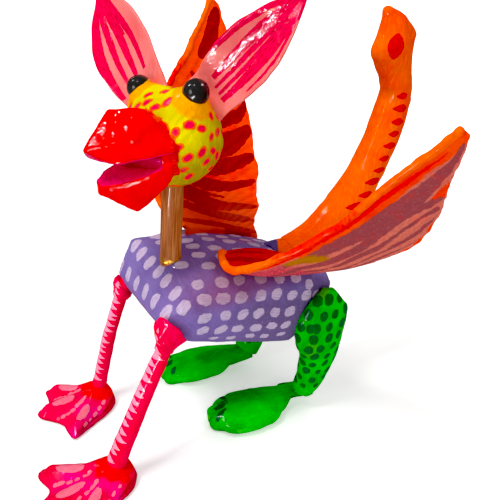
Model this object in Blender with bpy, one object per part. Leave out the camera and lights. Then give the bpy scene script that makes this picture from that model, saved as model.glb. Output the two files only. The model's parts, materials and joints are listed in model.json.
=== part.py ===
# Alebrije: a papier-mache and card fantasy animal with a beaked head on a wooden neck rod,
# card wings, webbed front feet, frog-like hind legs and an upright tail.
# Working axes: the figure faces -Y, its left side is +X, +Z is up, the ground is z = 0.
# All dimensions below are millimetres; MM turns them into metres when a mesh is made.
import bpy
import bmesh
import math
from mathutils import Vector, Matrix

MM = 0.001
GAP = 0.3                # air between two pieces that touch
WALL = 2.4               # body wall: several layers of paper over card
SPLIT_Z = 92.0           # where the body's lower tub meets its upper shell

ROD_RADIUS = 5.0         # 10 mm dowel
ROD_BOTTOM = 80.0
ROD_TOP = 170.0
TUBE_CLEARANCE = 0.08    # the head's paper tube turns on the rod
TUBE_WALL = 1.6
TUBE_BOTTOM = 144.6
TUBE_TOP = 170.8

HEAD_CENTRE = (0.0, 0.0, 164.0)
HEAD_YAW = 25.0          # the head looks to the figure's left
HEAD_ROLL = 10.0         # and leans, left eye higher
EYE_RADIUS = 6.0
EYE_LEFT = (16.3, -2.0, 19.6)
EYE_RIGHT = (-16.2, -2.0, 20.3)

RIM_RADIUS = 1.7         # rolled paper along each wing's leading edge
WING_THICKNESS = 2.0
WING_ROWS = 18
WING_COLUMNS = 7

PEG_RADIUS = 2.0
SPINE_RADIUS = 3.0

ROUND = 16               # sides of a modelled limb
TURNED = 40              # sides of the rod and its tube
PEG_TURN = 0.07          # turns the flats of pegs and bores off the limbs' own flats (radians)

LILAC = (0.19, 0.12, 0.40)
WOOD = (0.42, 0.13, 0.03)
RAW_WOOD = (0.62, 0.42, 0.22)
CARD = (0.45, 0.30, 0.16)
YELLOW = (0.75, 0.66, 0.0)
RED = (0.85, 0.0, 0.0)
CRIMSON = (0.45, 0.0, 0.08)
BLACK = (0.01, 0.01, 0.012)
SALMON = (1.0, 0.25, 0.22)
ORANGE = (1.0, 0.17, 0.0)
HOT_PINK = (1.0, 0.0, 0.07)
GREEN = (0.0, 0.55, 0.0)


def clear_scene():
    for obj in list(bpy.data.objects):
        bpy.data.objects.remove(obj, do_unlink=True)


def material(name, colour, roughness):
    mat = bpy.data.materials.new(name)
    mat.use_nodes = True
    shader = mat.node_tree.nodes["Principled BSDF"]
    shader.inputs["Base Color"].default_value = (*colour, 1.0)
    shader.inputs["Roughness"].default_value = roughness
    shader.inputs["Metallic"].default_value = 0.0
    return mat


def add_object(name, bm, origin=(0.0, 0.0, 0.0)):
    """Turn a bmesh in millimetres into a named object in metres, its origin at a chosen point."""
    bmesh.ops.recalc_face_normals(bm, faces=bm.faces[:])
    shift = Vector(origin)
    for vert in bm.verts:
        vert.co = (vert.co - shift) * MM
    mesh = bpy.data.meshes.new(name)
    bm.to_mesh(mesh)
    bm.free()
    obj = bpy.data.objects.new(name, mesh)
    obj.location = shift * MM
    bpy.context.scene.collection.objects.link(obj)
    return obj


def cut(obj, cutters, operation="DIFFERENCE"):
    """Apply one exact Boolean for each cutter, then drop the cutters."""
    for cutter in cutters:
        step = obj.modifiers.new("cut", "BOOLEAN")
        step.solver = "EXACT"
        step.operation = operation
        step.object = cutter
        bpy.context.view_layer.update()
        view = bpy.context.evaluated_depsgraph_get()
        result = bpy.data.meshes.new_from_object(obj.evaluated_get(view))
        obj.modifiers.remove(step)
        obj.data = result
        bpy.data.objects.remove(cutter, do_unlink=True)
    return obj


def tidy(obj, distance=0.004):
    """Weld the hair-thin edges that a cut leaves."""
    bm = bmesh.new()
    bm.from_mesh(obj.data)
    bmesh.ops.remove_doubles(bm, verts=bm.verts[:], dist=distance * MM)
    bmesh.ops.dissolve_degenerate(bm, edges=bm.edges[:], dist=distance * MM)
    bmesh.ops.triangulate(bm, faces=bm.faces[:])
    bm.to_mesh(obj.data)
    bm.free()
    return obj


def finish(obj, mat, angle=35.0):
    obj.data.materials.clear()
    obj.data.materials.append(mat)
    obj.data.shade_smooth()
    obj.data.set_sharp_from_angle(angle=math.radians(angle))
    return obj


def grow(bm, distance):
    """Push every face of a closed shape outwards (or inwards) by a distance."""
    bmesh.ops.recalc_face_normals(bm, faces=bm.faces[:])
    bm.normal_update()
    moves = [(v, v.normal * (distance * v.calc_shell_factor())) for v in bm.verts]
    for vert, move in moves:
        vert.co += move
    return bm


def hull(points):
    bm = bmesh.new()
    for point in points:
        bm.verts.new(point)
    result = bmesh.ops.convex_hull(bm, input=bm.verts[:])
    spare = [item for item in result["geom_interior"] if isinstance(item, bmesh.types.BMVert)]
    bmesh.ops.delete(bm, geom=spare, context="VERTS")
    return bm


def box(low, high):
    corners = [(x, y, z) for x in (low[0], high[0]) for y in (low[1], high[1]) for z in (low[2], high[2])]
    return hull(corners)


def loft(rings):
    """Close a stack of equal rings with a fan at each end."""
    bm = bmesh.new()
    grid = [[bm.verts.new(point) for point in ring] for ring in rings]
    count = len(rings[0])
    for lower, upper in zip(grid, grid[1:]):
        for i in range(count):
            j = (i + 1) % count
            bm.faces.new((lower[i], lower[j], upper[j], upper[i]))
    for ring in (grid[0], grid[-1]):
        centre = sum((v.co for v in ring), Vector()) / count
        hub = bm.verts.new(centre)
        for i in range(count):
            bm.faces.new((ring[i], ring[(i + 1) % count], hub))
    return bm


def limb(stations, side=(1.0, 0.0, 0.0), sides=ROUND, start=0.0):
    """Loft ellipses along a path. A station is (x, y, z, half width along side, half depth)."""
    centres = [Vector(s[:3]) for s in stations]
    rings = []
    for i, station in enumerate(stations):
        ahead = centres[min(i + 1, len(centres) - 1)]
        behind = centres[max(i - 1, 0)]
        along = (ahead - behind).normalized()
        across = (Vector(side) - along * along.dot(Vector(side))).normalized()
        depth = along.cross(across)
        ring = []
        for k in range(sides):
            turn = start + 2.0 * math.pi * k / sides
            ring.append(centres[i] + across * (station[3] * math.cos(turn)) + depth * (station[4] * math.sin(turn)))
        rings.append(ring)
    return loft(rings)


def rod(start, end, radius, sides=ROUND):
    direction = Vector(end) - Vector(start)
    side = (1.0, 0.0, 0.0) if abs(direction.x) < 0.7 * direction.length else (0.0, 1.0, 0.0)
    return limb([(*start, radius, radius), (*end, radius, radius)], side, sides, PEG_TURN)


def sheet(surface, rows, columns, thickness):
    """A curved card of even thickness over surface(u, v), both running from 0 to 1."""
    mid = [[Vector(surface(i / rows, j / columns)) for j in range(columns + 1)] for i in range(rows + 1)]
    bm = bmesh.new()
    layers = []
    for sign in (1.0, -1.0):
        layer = []
        for i in range(rows + 1):
            line = []
            for j in range(columns + 1):
                along = mid[min(i + 1, rows)][j] - mid[max(i - 1, 0)][j]
                across = mid[i][min(j + 1, columns)] - mid[i][max(j - 1, 0)]
                normal = along.cross(across).normalized()
                line.append(bm.verts.new(mid[i][j] + normal * (sign * thickness / 2.0)))
            layer.append(line)
        layers.append(layer)
    for layer in layers:
        for i in range(rows):
            for j in range(columns):
                bm.faces.new((layer[i][j], layer[i + 1][j], layer[i + 1][j + 1], layer[i][j + 1]))
    top, bottom = layers
    edge = [(i, 0) for i in range(rows)] + [(rows, j) for j in range(columns)]
    edge += [(i, columns) for i in range(rows, 0, -1)] + [(0, j) for j in range(columns, 0, -1)]
    for (a, b), (c, d) in zip(edge, edge[1:] + edge[:1]):
        bm.faces.new((top[a][b], top[c][d], bottom[c][d], bottom[a][b]))
    return bm


def curve(points, t):
    """Smooth curve through points, t from 0 to 1."""
    spans = len(points) - 1
    at = min(max(t, 0.0), 1.0) * spans
    i = min(int(at), spans - 1)
    f = at - i
    p0, p1, p2, p3 = (Vector(points[min(max(k, 0), spans)]) for k in (i - 1, i, i + 1, i + 2))
    return 0.5 * ((2.0 * p1) + (p2 - p0) * f + (2.0 * p0 - 5.0 * p1 + 4.0 * p2 - p3) * f * f
                  + (3.0 * p1 - p0 - 3.0 * p2 + p3) * f * f * f)


def head_frame():
    """Head-local axes: x to the animal's left, y backwards, z up, origin on the neck axis."""
    yaw = Matrix.Rotation(math.radians(HEAD_YAW), 4, "Z")
    roll = Matrix.Rotation(math.radians(-HEAD_ROLL), 4, "Y")
    return Matrix.Translation(HEAD_CENTRE) @ yaw @ roll


# ---------------------------------------------------------------- body

BODY_POINTS = (
    (5.5, -0.5, 106.0), (19.5, -1.5, 102.5), (-28.0, -9.0, 103.2), (0.0, 0.0, 106.4), (17.5, 14.0, 105.0),
    (-26.5, 20.0, 104.0), (8.0, 22.0, 106.8), (-8.0, 22.0, 106.8), (15.5, 46.0, 102.0), (24.5, 44.0, 95.0),
    (-24.0, 42.0, 99.4), (0.0, 46.0, 104.0), (13.0, 70.0, 94.5), (-20.5, 61.5, 93.2), (0.0, 66.0, 96.5),
    (17.5, 78.5, 91.5), (-18.0, 70.5, 88.5), (27.8, -2.5, 97.0), (23.0, -13.0, 90.5), (-30.5, -15.5, 84.0),
    (21.0, -13.5, 86.5), (24.0, -9.0, 79.5), (-26.0, -14.5, 79.5), (0.0, -6.0, 77.5), (30.2, 2.0, 84.0),
    (-29.5, 8.0, 84.0), (26.0, 0.0, 75.5), (-26.0, 8.0, 72.0), (27.5, 50.0, 72.0), (-27.0, 48.0, 72.0),
    (25.0, 56.0, 58.5), (-25.0, 52.0, 60.0), (22.0, 81.0, 84.0), (-22.0, 74.0, 82.0), (19.0, 76.0, 64.0),
    (-19.0, 70.0, 65.0),
)


def body_hull(distance=0.0):
    bm = hull(BODY_POINTS)
    return grow(bm, distance) if distance else bm


def neck_rod_solid(extra=0.0):
    return rod((0.0, 0.0, ROD_BOTTOM - extra), (0.0, 0.0, ROD_TOP + extra), ROD_RADIUS + extra, TURNED)


FRONT_LEG_LEFT = (
    (23.5, -7.5, 86.0), (24.0, -11.5, 75.0), (24.8, -23.5, 46.0), (25.0, -33.8, 18.0), (25.0, -35.8, 12.5),
)
FRONT_LEG_RIGHT = (
    (-23.5, -10.5, 86.0), (-26.0, -14.8, 75.0), (-28.8, -21.6, 46.0), (-30.3, -26.7, 18.0), (-30.6, -27.6, 12.5),
)
LEFT_LEG_RADII = (3.6, 3.7, 4.1, 4.8, 4.9)
RIGHT_LEG_RADII = (3.2, 3.2, 3.3, 3.6, 3.8)


def front_leg_solid(path, radii, extra=0.0):
    stations = [(*curve(path, i / 8), *([curve([(r, 0, 0) for r in radii], i / 8)[0] + extra] * 2)) for i in range(9)]
    return limb(stations)


THIGH_LEFT = (
    (23.5, 76.0, 88.0, 3.5, 5.5), (25.0, 76.0, 83.0, 6.0, 10.5), (26.0, 75.0, 75.0, 7.0, 14.0),
    (26.5, 73.5, 66.0, 7.5, 15.3), (26.5, 74.8, 57.0, 7.5, 14.0), (25.0, 77.5, 46.0, 7.0, 11.6),
    (23.0, 78.0, 36.0, 6.7, 10.4), (21.5, 77.5, 27.0, 6.5, 9.2), (19.5, 77.0, 19.0, 6.3, 7.8),
    (18.0, 76.5, 12.5, 5.8, 6.2),
)
THIGH_RIGHT = (
    (-23.0, 66.0, 86.0, 3.5, 6.0), (-24.5, 67.0, 81.0, 6.0, 11.0), (-25.5, 68.0, 73.0, 7.0, 13.0),
    (-26.0, 69.0, 65.0, 7.5, 13.5), (-26.5, 71.5, 55.0, 7.5, 11.0), (-27.0, 72.0, 45.0, 7.0, 9.0),
    (-27.0, 71.0, 35.0, 6.5, 8.0), (-27.0, 69.5, 26.5, 6.2, 7.5), (-27.0, 67.0, 19.0, 6.5, 7.5),
    (-26.5, 63.0, 13.0, 7.0, 8.0),
)


def thigh_solid(stations, extra=0.0):
    path = [s[:3] for s in stations]
    widths = [(s[3], s[4], 0.0) for s in stations]
    steps = 14
    smooth = []
    for i in range(steps + 1):
        place = curve(path, i / steps)
        size = curve(widths, i / steps)
        smooth.append((*place, size[0] + extra, size[1] + extra))
    return limb(smooth)


TAIL_PATH = (
    (0.0, 65.8, 96.2), (0.0, 75.3, 99.5), (0.0, 83.6, 103.5), (0.0, 95.3, 115.0), (0.0, 102.6, 126.8),
    (0.0, 109.0, 139.5), (0.0, 113.0, 152.8), (0.0, 115.9, 165.1), (0.0, 116.8, 177.2), (0.0, 113.2, 187.5),
    (0.0, 110.2, 196.5), (0.0, 109.2, 203.5), (0.0, 105.6, 210.7), (0.0, 101.6, 215.5),
)
TAIL_SIZES = (
    (7.8, 7.8), (8.4, 8.8), (9.0, 9.7), (9.5, 10.2), (9.2, 9.7), (8.7, 9.0), (8.4, 8.6), (8.1, 8.3), (7.4, 7.6),
    (6.9, 8.6), (6.8, 10.4), (6.2, 10.2), (4.4, 6.0), (1.6, 1.6),
)
TAIL_PEG = ((0.0, 57.5, 90.5), (0.0, 80.0, 101.5))


def tail_solid():
    path = TAIL_PATH
    steps = 30
    stations = []
    for i in range(steps + 1):
        place = curve(path, i / steps)
        size = curve([(a, b, 0.0) for a, b in TAIL_SIZES], i / steps)
        stations.append((*place, size[0], size[1]))
    return limb(stations)


def spine_solid(extra=0.0):
    return rod((0.0, 12.0 - extra, 88.0), (0.0, 60.0 + extra, 77.0), SPINE_RADIUS + extra)


def hind_peg_solid(side, extra=0.0):
    ends = {"left": ((6.0 - extra, 68.0, 76.0), (27.0 + extra, 74.0, 70.0)),
            "right": ((-6.0 + extra, 63.0, 76.0), (-27.0 - extra, 68.0, 69.0))}[side]
    return rod(*ends, PEG_RADIUS + extra)


def build_body(root):
    lilac = material("lilac_paint", LILAC, 0.3)
    raw = material("raw_wood", RAW_WOOD, 0.7)
    halves = {"body_lower_shell": ((-60.0, -60.0, 0.0), (60.0, 120.0, SPLIT_Z - GAP / 2)),
              "body_upper_shell": ((-60.0, -60.0, SPLIT_Z + GAP / 2), (60.0, 120.0, 150.0))}
    for name, (low, high) in halves.items():
        shell = add_object(name, body_hull())
        cut(shell, [add_object("inside", body_hull(-WALL))])
        cut(shell, [add_object("half", box(low, high))], "INTERSECT")
        cutters = [thigh_solid(THIGH_LEFT, GAP), thigh_solid(THIGH_RIGHT, GAP)]
        if name == "body_upper_shell":
            cutters += [neck_rod_solid(GAP), rod(*TAIL_PEG, PEG_RADIUS + GAP)]
        else:
            cutters += [front_leg_solid(FRONT_LEG_LEFT, LEFT_LEG_RADII, GAP)]
            cutters += [front_leg_solid(FRONT_LEG_RIGHT, RIGHT_LEG_RADII, GAP)]
        cut(shell, [add_object("cutter", bm) for bm in cutters])
        tidy(shell)
        finish(shell, lilac)
        shell.parent = root
    blocks = {"chest_block": ((-60.0, -60.0, 78.5), (60.0, 16.0, 99.0)),
              "rump_block": ((-60.0, 50.0, 68.0), (60.0, 120.0, 99.0))}
    for name, (low, high) in blocks.items():
        block = add_object(name, body_hull(-WALL - GAP))
        cut(block, [add_object("part", box(low, high))], "INTERSECT")
        cutters = [spine_solid(GAP)]
        if name == "chest_block":
            cutters += [neck_rod_solid(GAP)]
            cutters += [front_leg_solid(FRONT_LEG_LEFT, LEFT_LEG_RADII, GAP)]
            cutters += [front_leg_solid(FRONT_LEG_RIGHT, RIGHT_LEG_RADII, GAP)]
        else:
            cutters += [thigh_solid(THIGH_LEFT, GAP), thigh_solid(THIGH_RIGHT, GAP)]
            cutters += [hind_peg_solid("left", GAP), hind_peg_solid("right", GAP)]
            cutters += [rod(*TAIL_PEG, PEG_RADIUS + GAP)]
        cut(block, [add_object("cutter", bm) for bm in cutters])
        tidy(block)
        finish(block, raw)
        block.parent = root
    spine = add_object("spine_stick", spine_solid())
    finish(spine, raw)
    spine.parent = root


# ---------------------------------------------------------------- neck and head

def head_skin(extra=0.0):
    """A ball that narrows towards the rod, with a swelling under each eye."""
    frame = head_frame()
    swellings = [(Vector(EYE_LEFT).normalized(), 5.5), (Vector(EYE_RIGHT).normalized(), 5.5)]
    around, up = 32, 18
    bm = bmesh.new()
    rows = []
    for i in range(1, up):
        polar = math.pi * i / up
        row = []
        for k in range(around):
            turn = 2.0 * math.pi * k / around
            way = Vector((math.sin(polar) * math.cos(turn), math.sin(polar) * math.sin(turn), math.cos(polar)))
            radius = 20.6 - 1.0 * max(0.0, way.z) ** 2
            for peak, height in swellings:
                radius += height * math.exp(-((1.0 - way.dot(peak)) / 0.075))
            row.append(bm.verts.new(frame @ (way * (radius + extra))))
        rows.append(row)
    crown = bm.verts.new(frame @ Vector((0.0, 0.0, 19.8 + extra)))
    chin = bm.verts.new(frame @ Vector((0.0, 0.0, -20.6 - extra)))
    for upper, lower in zip(rows, rows[1:]):
        for k in range(around):
            j = (k + 1) % around
            bm.faces.new((upper[k], lower[k], lower[j], upper[j]))
    for k in range(around):
        j = (k + 1) % around
        bm.faces.new((crown, rows[0][k], rows[0][j]))
        bm.faces.new((chin, rows[-1][j], rows[-1][k]))
    return bm


def eye_ball(place, extra=0.0):
    bm = bmesh.new()
    bmesh.ops.create_uvsphere(bm, u_segments=20, v_segments=12, radius=EYE_RADIUS + extra)
    centre = head_frame() @ Vector(place)
    bmesh.ops.translate(bm, verts=bm.verts[:], vec=centre)
    return bm


# Beak points in head axes: x to the animal's left, y backwards (the beak is at -y), z up.
UPPER_LIP = (
    (-12.0, -22.7, 14.8), (-8.0, -26.1, 15.7), (2.0, -20.5, 15.6), (6.0, -20.5, 15.5), (10.0, -19.5, 11.6),
    (16.0, -16.9, 1.6), (-16.5, -17.0, 6.0), (-12.0, -37.5, 1.8), (-8.0, -40.5, 3.0), (-11.0, -37.0, -0.8),
    (4.0, -35.1, -2.4), (-3.0, -36.5, -2.4), (12.0, -26.0, -1.2), (16.0, -16.0, -1.0), (-16.5, -29.0, -0.8),
    (-17.0, -17.0, -1.0), (1.0, -35.5, 5.0), (8.0, -29.0, 7.0), (0.0, -9.0, 10.0), (11.0, -9.0, 1.0),
    (-11.0, -9.0, 1.0),
)
LOWER_LIP = (
    (-12.0, -33.5, -10.9), (-12.0, -33.6, -16.7), (-7.0, -35.4, -12.0), (-2.0, -27.2, -23.8), (2.0, -26.7, -24.1),
    (13.0, -19.6, -14.1), (16.0, -16.9, -4.6), (12.0, -23.5, -7.2), (2.0, -31.0, -12.4), (-16.0, -26.0, -9.5),
    (-14.5, -20.0, -16.0), (0.0, -10.0, -15.0), (11.0, -10.0, -8.0), (-13.0, -10.0, -8.0), (-15.0, -18.0, -8.0),
)
LINING = (
    (12.0, -17.5, -2.6), (-13.0, -18.0, -2.6), (11.0, -22.0, -2.8), (-12.0, -23.0, -2.8), (8.0, -20.0, -5.0),
    (-12.0, -20.0, -6.6), (8.0, -12.0, -5.0), (-12.0, -12.0, -6.6), (11.0, -12.0, -2.6), (-12.0, -12.0, -2.6),
)


def in_head(points):
    frame = head_frame()
    return [frame @ Vector(p) for p in points]


EAR_LEFT_BASE = (12.7, 7.0, 14.6)
EAR_RIGHT_BASE = (-16.1, 4.0, 14.8)
EAR_LEFT_TIP = (56.7, 15.0, 52.7)      # head axes, like the bases
EAR_RIGHT_TIP = (-48.9, 13.0, 58.6)
EAR_LEFT_LEAF = (8.5, 6.9, 1.16)       # half width at the root, half width of the belly, how late it swells
EAR_RIGHT_LEAF = (9.2, 10.5, 1.0)
EAR_TIP_HALF = 1.5
EAR_FACING = (0.62, -0.72, 0.0)
EAR_THICKNESS = 2.4


def ear_surface(base, tip, face, leaf):
    """A leaf that is cupped towards the viewing side, narrow at both ends."""
    base = Vector(base)
    along = Vector(tip) - base
    facing = (Vector(face) - along.normalized() * along.normalized().dot(Vector(face))).normalized()
    across = along.normalized().cross(facing)

    root, belly, late = leaf

    def surface(u, v):
        swell = math.sin(math.pi * u ** late) if 0.0 < u < 1.0 else 0.0
        half = root * (1.0 - u) ** 1.5 + belly * swell + EAR_TIP_HALF
        s = 2.0 * v - 1.0
        cup = 0.42 * half * (s * s - 0.5) * swell + 1.5 * math.sin(math.pi * u)
        return base + along * u + across * (half * s) + facing * cup
    return surface


def build_head(root):
    wood = material("bronze_rod", WOOD, 0.35)
    card = material("raw_card", CARD, 0.8)
    yellow = material("yellow_paint", YELLOW, 0.25)
    red = material("red_paint", RED, 0.2)
    crimson = material("mouth_paint", CRIMSON, 0.3)
    black = material("eye_paint", BLACK, 0.08)
    salmon = material("ear_paint", SALMON, 0.25)

    neck = add_object("neck_rod", neck_rod_solid())
    finish(neck, wood)
    neck.parent = root

    pivot = bpy.data.objects.new("head_axis", None)
    pivot.location = Vector(HEAD_CENTRE) * MM
    bpy.context.scene.collection.objects.link(pivot)
    pivot.parent = root

    inner = ROD_RADIUS + TUBE_CLEARANCE
    outer = inner + TUBE_WALL
    low, high = (0.0, 0.0, TUBE_BOTTOM), (0.0, 0.0, TUBE_TOP)
    tube = add_object("head_tube", rod(low, high, outer, TURNED), HEAD_CENTRE)
    bore = rod((0.0, 0.0, TUBE_BOTTOM - 5.0), (0.0, 0.0, TUBE_TOP + 5.0), inner, TURNED)
    cut(tube, [add_object("bore", bore)])
    finish(tube, card)

    ears = {"ear_left": (EAR_LEFT_BASE, EAR_LEFT_TIP, EAR_LEFT_LEAF),
            "ear_right": (EAR_RIGHT_BASE, EAR_RIGHT_TIP, EAR_RIGHT_LEAF)}
    head = add_object("head", head_skin(), HEAD_CENTRE)
    socket = rod((0.0, 0.0, 120.0), (0.0, 0.0, TUBE_TOP + 0.7), outer + GAP, TURNED)
    cutters = [socket, eye_ball(EYE_LEFT, GAP), eye_ball(EYE_RIGHT, GAP)]
    moving = [tube, head]
    frame = head_frame()
    for name, (base, tip, leaf_form) in ears.items():
        foot = frame @ Vector(base)
        surface = ear_surface(foot, frame @ Vector(tip), EAR_FACING, leaf_form)
        leaf = add_object(name, sheet(surface, 14, 6, EAR_THICKNESS), HEAD_CENTRE)
        cut(leaf, [add_object("skull", head_skin(GAP))])
        moving.append(tidy(leaf))
        finish(leaf, salmon)
    cut(head, [add_object("cutter", bm) for bm in cutters])
    tidy(head)
    finish(head, yellow)

    lips = {"upper_lip": (UPPER_LIP, red), "lower_lip": (LOWER_LIP, red), "mouth_lining": (LINING, crimson)}
    for name, (points, paint) in lips.items():
        lip = add_object(name, hull(in_head(points)), HEAD_CENTRE)
        cut(lip, [add_object("skull", head_skin(GAP))])
        tidy(lip)
        finish(lip, paint)
        moving.append(lip)
    for name, place in (("eye_left", EYE_LEFT), ("eye_right", EYE_RIGHT)):
        eye = add_object(name, eye_ball(place), HEAD_CENTRE)
        finish(eye, black)
        moving.append(eye)
    for obj in moving:
        obj.parent = pivot
        obj.location = (0.0, 0.0, 0.0)


# ---------------------------------------------------------------- wings

LEFT_LEADING = (
    (11.0, 21.0, 108.8), (19.0, 17.5, 109.3), (27.0, 17.5, 109.8), (30.5, 25.0, 111.5), (35.5, 33.0, 116.8),
    (43.0, 40.9, 125.2), (50.5, 45.5, 134.6), (58.0, 49.6, 144.5), (70.0, 52.4, 161.6), (79.0, 56.3, 174.7),
    (86.0, 60.6, 184.6), (93.0, 60.0, 193.5),
)
LEFT_TRAILING = (
    (20.0, 60.0, 100.5), (22.0, 66.0, 99.5), (26.0, 69.0, 100.5), (31.0, 71.0, 103.5), (36.0, 76.5, 107.0),
    (42.0, 82.2, 110.1), (54.0, 88.9, 121.5), (62.0, 90.0, 131.5), (72.0, 85.4, 148.2), (78.0, 79.5, 159.3),
    (84.0, 73.0, 170.0), (94.5, 64.0, 190.5),
)
RIGHT_LEADING = (
    (-18.0, 13.6, 110.6), (-22.9, 9.8, 115.3), (-30.2, 4.7, 123.0), (-40.0, 6.5, 135.0), (-50.0, 11.0, 146.0),
    (-60.0, 17.5, 157.0), (-70.8, 27.9, 169.2), (-79.1, 40.0, 180.3), (-83.6, 45.2, 187.5), (-89.3, 53.2, 196.7),
    (-94.6, 59.0, 205.7),
)
RIGHT_TRAILING = (
    (-21.0, 59.0, 96.8), (-26.6, 59.5, 102.1), (-32.7, 64.4, 105.7), (-37.4, 65.5, 110.2), (-42.1, 68.7, 114.0),
    (-49.1, 72.5, 121.3), (-55.2, 72.0, 129.9), (-61.9, 73.8, 139.2), (-70.6, 72.5, 154.1), (-88.4, 66.4, 190.7),
    (-93.8, 63.2, 201.8),
)


def wing_surface(leading, trailing, belly):
    """A card panel that starts just behind its rolled leading edge and is slightly cupped."""
    def surface(u, v):
        front = curve(leading, u)
        back = curve(trailing, u)
        chord = back - front
        start = front + chord.normalized() * (RIM_RADIUS - 0.4)
        cup = belly * math.sin(math.pi * v) * math.sin(math.pi * min(1.0, u * 1.15)) ** 0.7
        outward = Vector((math.copysign(1.0, front.x), 0.0, -0.9)).normalized()
        return start + (back - start) * v + outward * cup
    return surface


def wing_rim_solid(leading, extra=0.0):
    steps = 26
    stations = []
    for i in range(steps + 1):
        radius = RIM_RADIUS * (1.0 - 0.25 * i / steps) + extra
        stations.append((*curve(leading, i / steps), radius, radius))
    return limb(stations, (0.0, 1.0, 0.0), 8)


def build_wings(root):
    orange = material("wing_paint", ORANGE, 0.35)
    rims = material("wing_rim_paint", ORANGE, 0.3)
    wings = {"left": (LEFT_LEADING, LEFT_TRAILING, 4.0), "right": (RIGHT_LEADING, RIGHT_TRAILING, 3.0)}
    for side, (leading, trailing, belly) in wings.items():
        panel = sheet(wing_surface(leading, trailing, belly), WING_ROWS, WING_COLUMNS, WING_THICKNESS)
        wing = add_object("wing_" + side, panel)
        cut(wing, [add_object("trunk", body_hull(GAP)), add_object("edge", wing_rim_solid(leading, GAP))])
        tidy(wing)
        finish(wing, orange)
        wing.parent = root
        rim = add_object("wing_rim_" + side, wing_rim_solid(leading))
        cut(rim, [add_object("trunk", body_hull(GAP))])
        tidy(rim)
        finish(rim, rims)
        rim.parent = root


# ---------------------------------------------------------------- tail

def build_tail(root):
    orange = material("tail_paint", ORANGE, 0.25)
    lilac = material("socket_paint", LILAC, 0.3)
    raw = material("tail_peg_wood", RAW_WOOD, 0.7)
    start, end = (Vector(p) for p in TAIL_PEG)
    way = (end - start).normalized()
    plane = Vector(TAIL_PATH[0]) + way * 1.0
    collar = [plane - way * 14.0, plane - way * 6.0, plane - way * GAP]
    cone = limb([(*collar[0], 12.0, 12.0), (*collar[1], 9.6, 9.6), (*collar[2], 7.6, 7.6)])
    socket = add_object("tail_socket", cone)
    cut(socket, [add_object("trunk", body_hull(GAP)), add_object("bore", rod(*TAIL_PEG, PEG_RADIUS + GAP))])
    tidy(socket)
    finish(socket, lilac)
    tail = add_object("tail", tail_solid())
    behind = hull([p for ring in limb_disc(plane, way, 40.0, 60.0) for p in ring])
    cut(tail, [add_object("plane", behind), add_object("trunk", body_hull(GAP))])
    cut(tail, [add_object("bore", rod(*TAIL_PEG, PEG_RADIUS + GAP))])
    tidy(tail)
    finish(tail, orange)
    peg = add_object("tail_peg", rod(start + way * 1.0, end - way * 1.0, PEG_RADIUS))
    finish(peg, raw)
    for obj in (socket, tail, peg):
        obj.parent = root


def limb_disc(plane, way, radius, depth):
    """Two rings of a thick disc whose upper face lies in a plane."""
    across = Vector((1.0, 0.0, 0.0))
    other = way.cross(across)
    rings = []
    for back in (0.0, depth):
        ring = []
        for k in range(8):
            turn = 2.0 * math.pi * k / 8
            ring.append(plane - way * back + across * (radius * math.cos(turn)) + other * (radius * math.sin(turn)))
        rings.append(ring)
    return rings


# ---------------------------------------------------------------- legs and feet

COLLAR_LEFT = (
    (16.8, -14.4, 85.0), (24.5, -14.4, 93.2), (28.7, -11.5, 91.0), (30.6, -6.0, 86.0), (29.8, -2.8, 77.8),
    (20.5, -15.8, 84.5), (20.5, -15.6, 79.0), (20.8, -16.3, 74.0), (27.8, -16.3, 74.0), (28.0, -7.5, 72.5),
    (20.4, -7.5, 72.5), (20.8, -16.4, 80.0), (27.5, -16.2, 83.0),
)
COLLAR_RIGHT = (
    (-22.0, -17.5, 80.5), (-27.0, -18.2, 83.0), (-32.0, -15.0, 82.0), (-32.0, -7.0, 75.0), (-28.0, -6.5, 71.0),
    (-21.5, -16.0, 75.0), (-22.5, -10.0, 70.5), (-22.8, -18.6, 71.0), (-29.5, -18.6, 71.0), (-30.0, -11.0, 69.5),
    (-29.5, -18.8, 77.0),
)
FOOT_LEFT = (
    (28.0, -26.5), (33.0, -29.0), (38.0, -36.0), (43.0, -46.0), (48.5, -58.0), (46.5, -62.0), (40.0, -64.0),
    (35.5, -70.0), (31.5, -75.0), (27.0, -74.0), (22.5, -67.5), (18.0, -67.0), (12.0, -70.0), (7.5, -69.0),
    (7.0, -64.0), (11.0, -55.0), (15.0, -45.0), (18.0, -35.0), (22.0, -28.5),
)
FOOT_RIGHT = (
    (-24.5, -20.5), (-20.0, -24.0), (-15.5, -32.0), (-10.5, -41.0), (-6.5, -48.0), (-10.0, -50.0), (-18.0, -51.0),
    (-24.0, -56.0), (-29.5, -61.5), (-33.0, -60.5), (-35.0, -55.5), (-40.0, -54.0), (-46.5, -54.5), (-48.0, -50.0),
    (-44.0, -42.0), (-38.5, -32.0), (-34.0, -25.0), (-30.0, -21.0),
)


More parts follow.
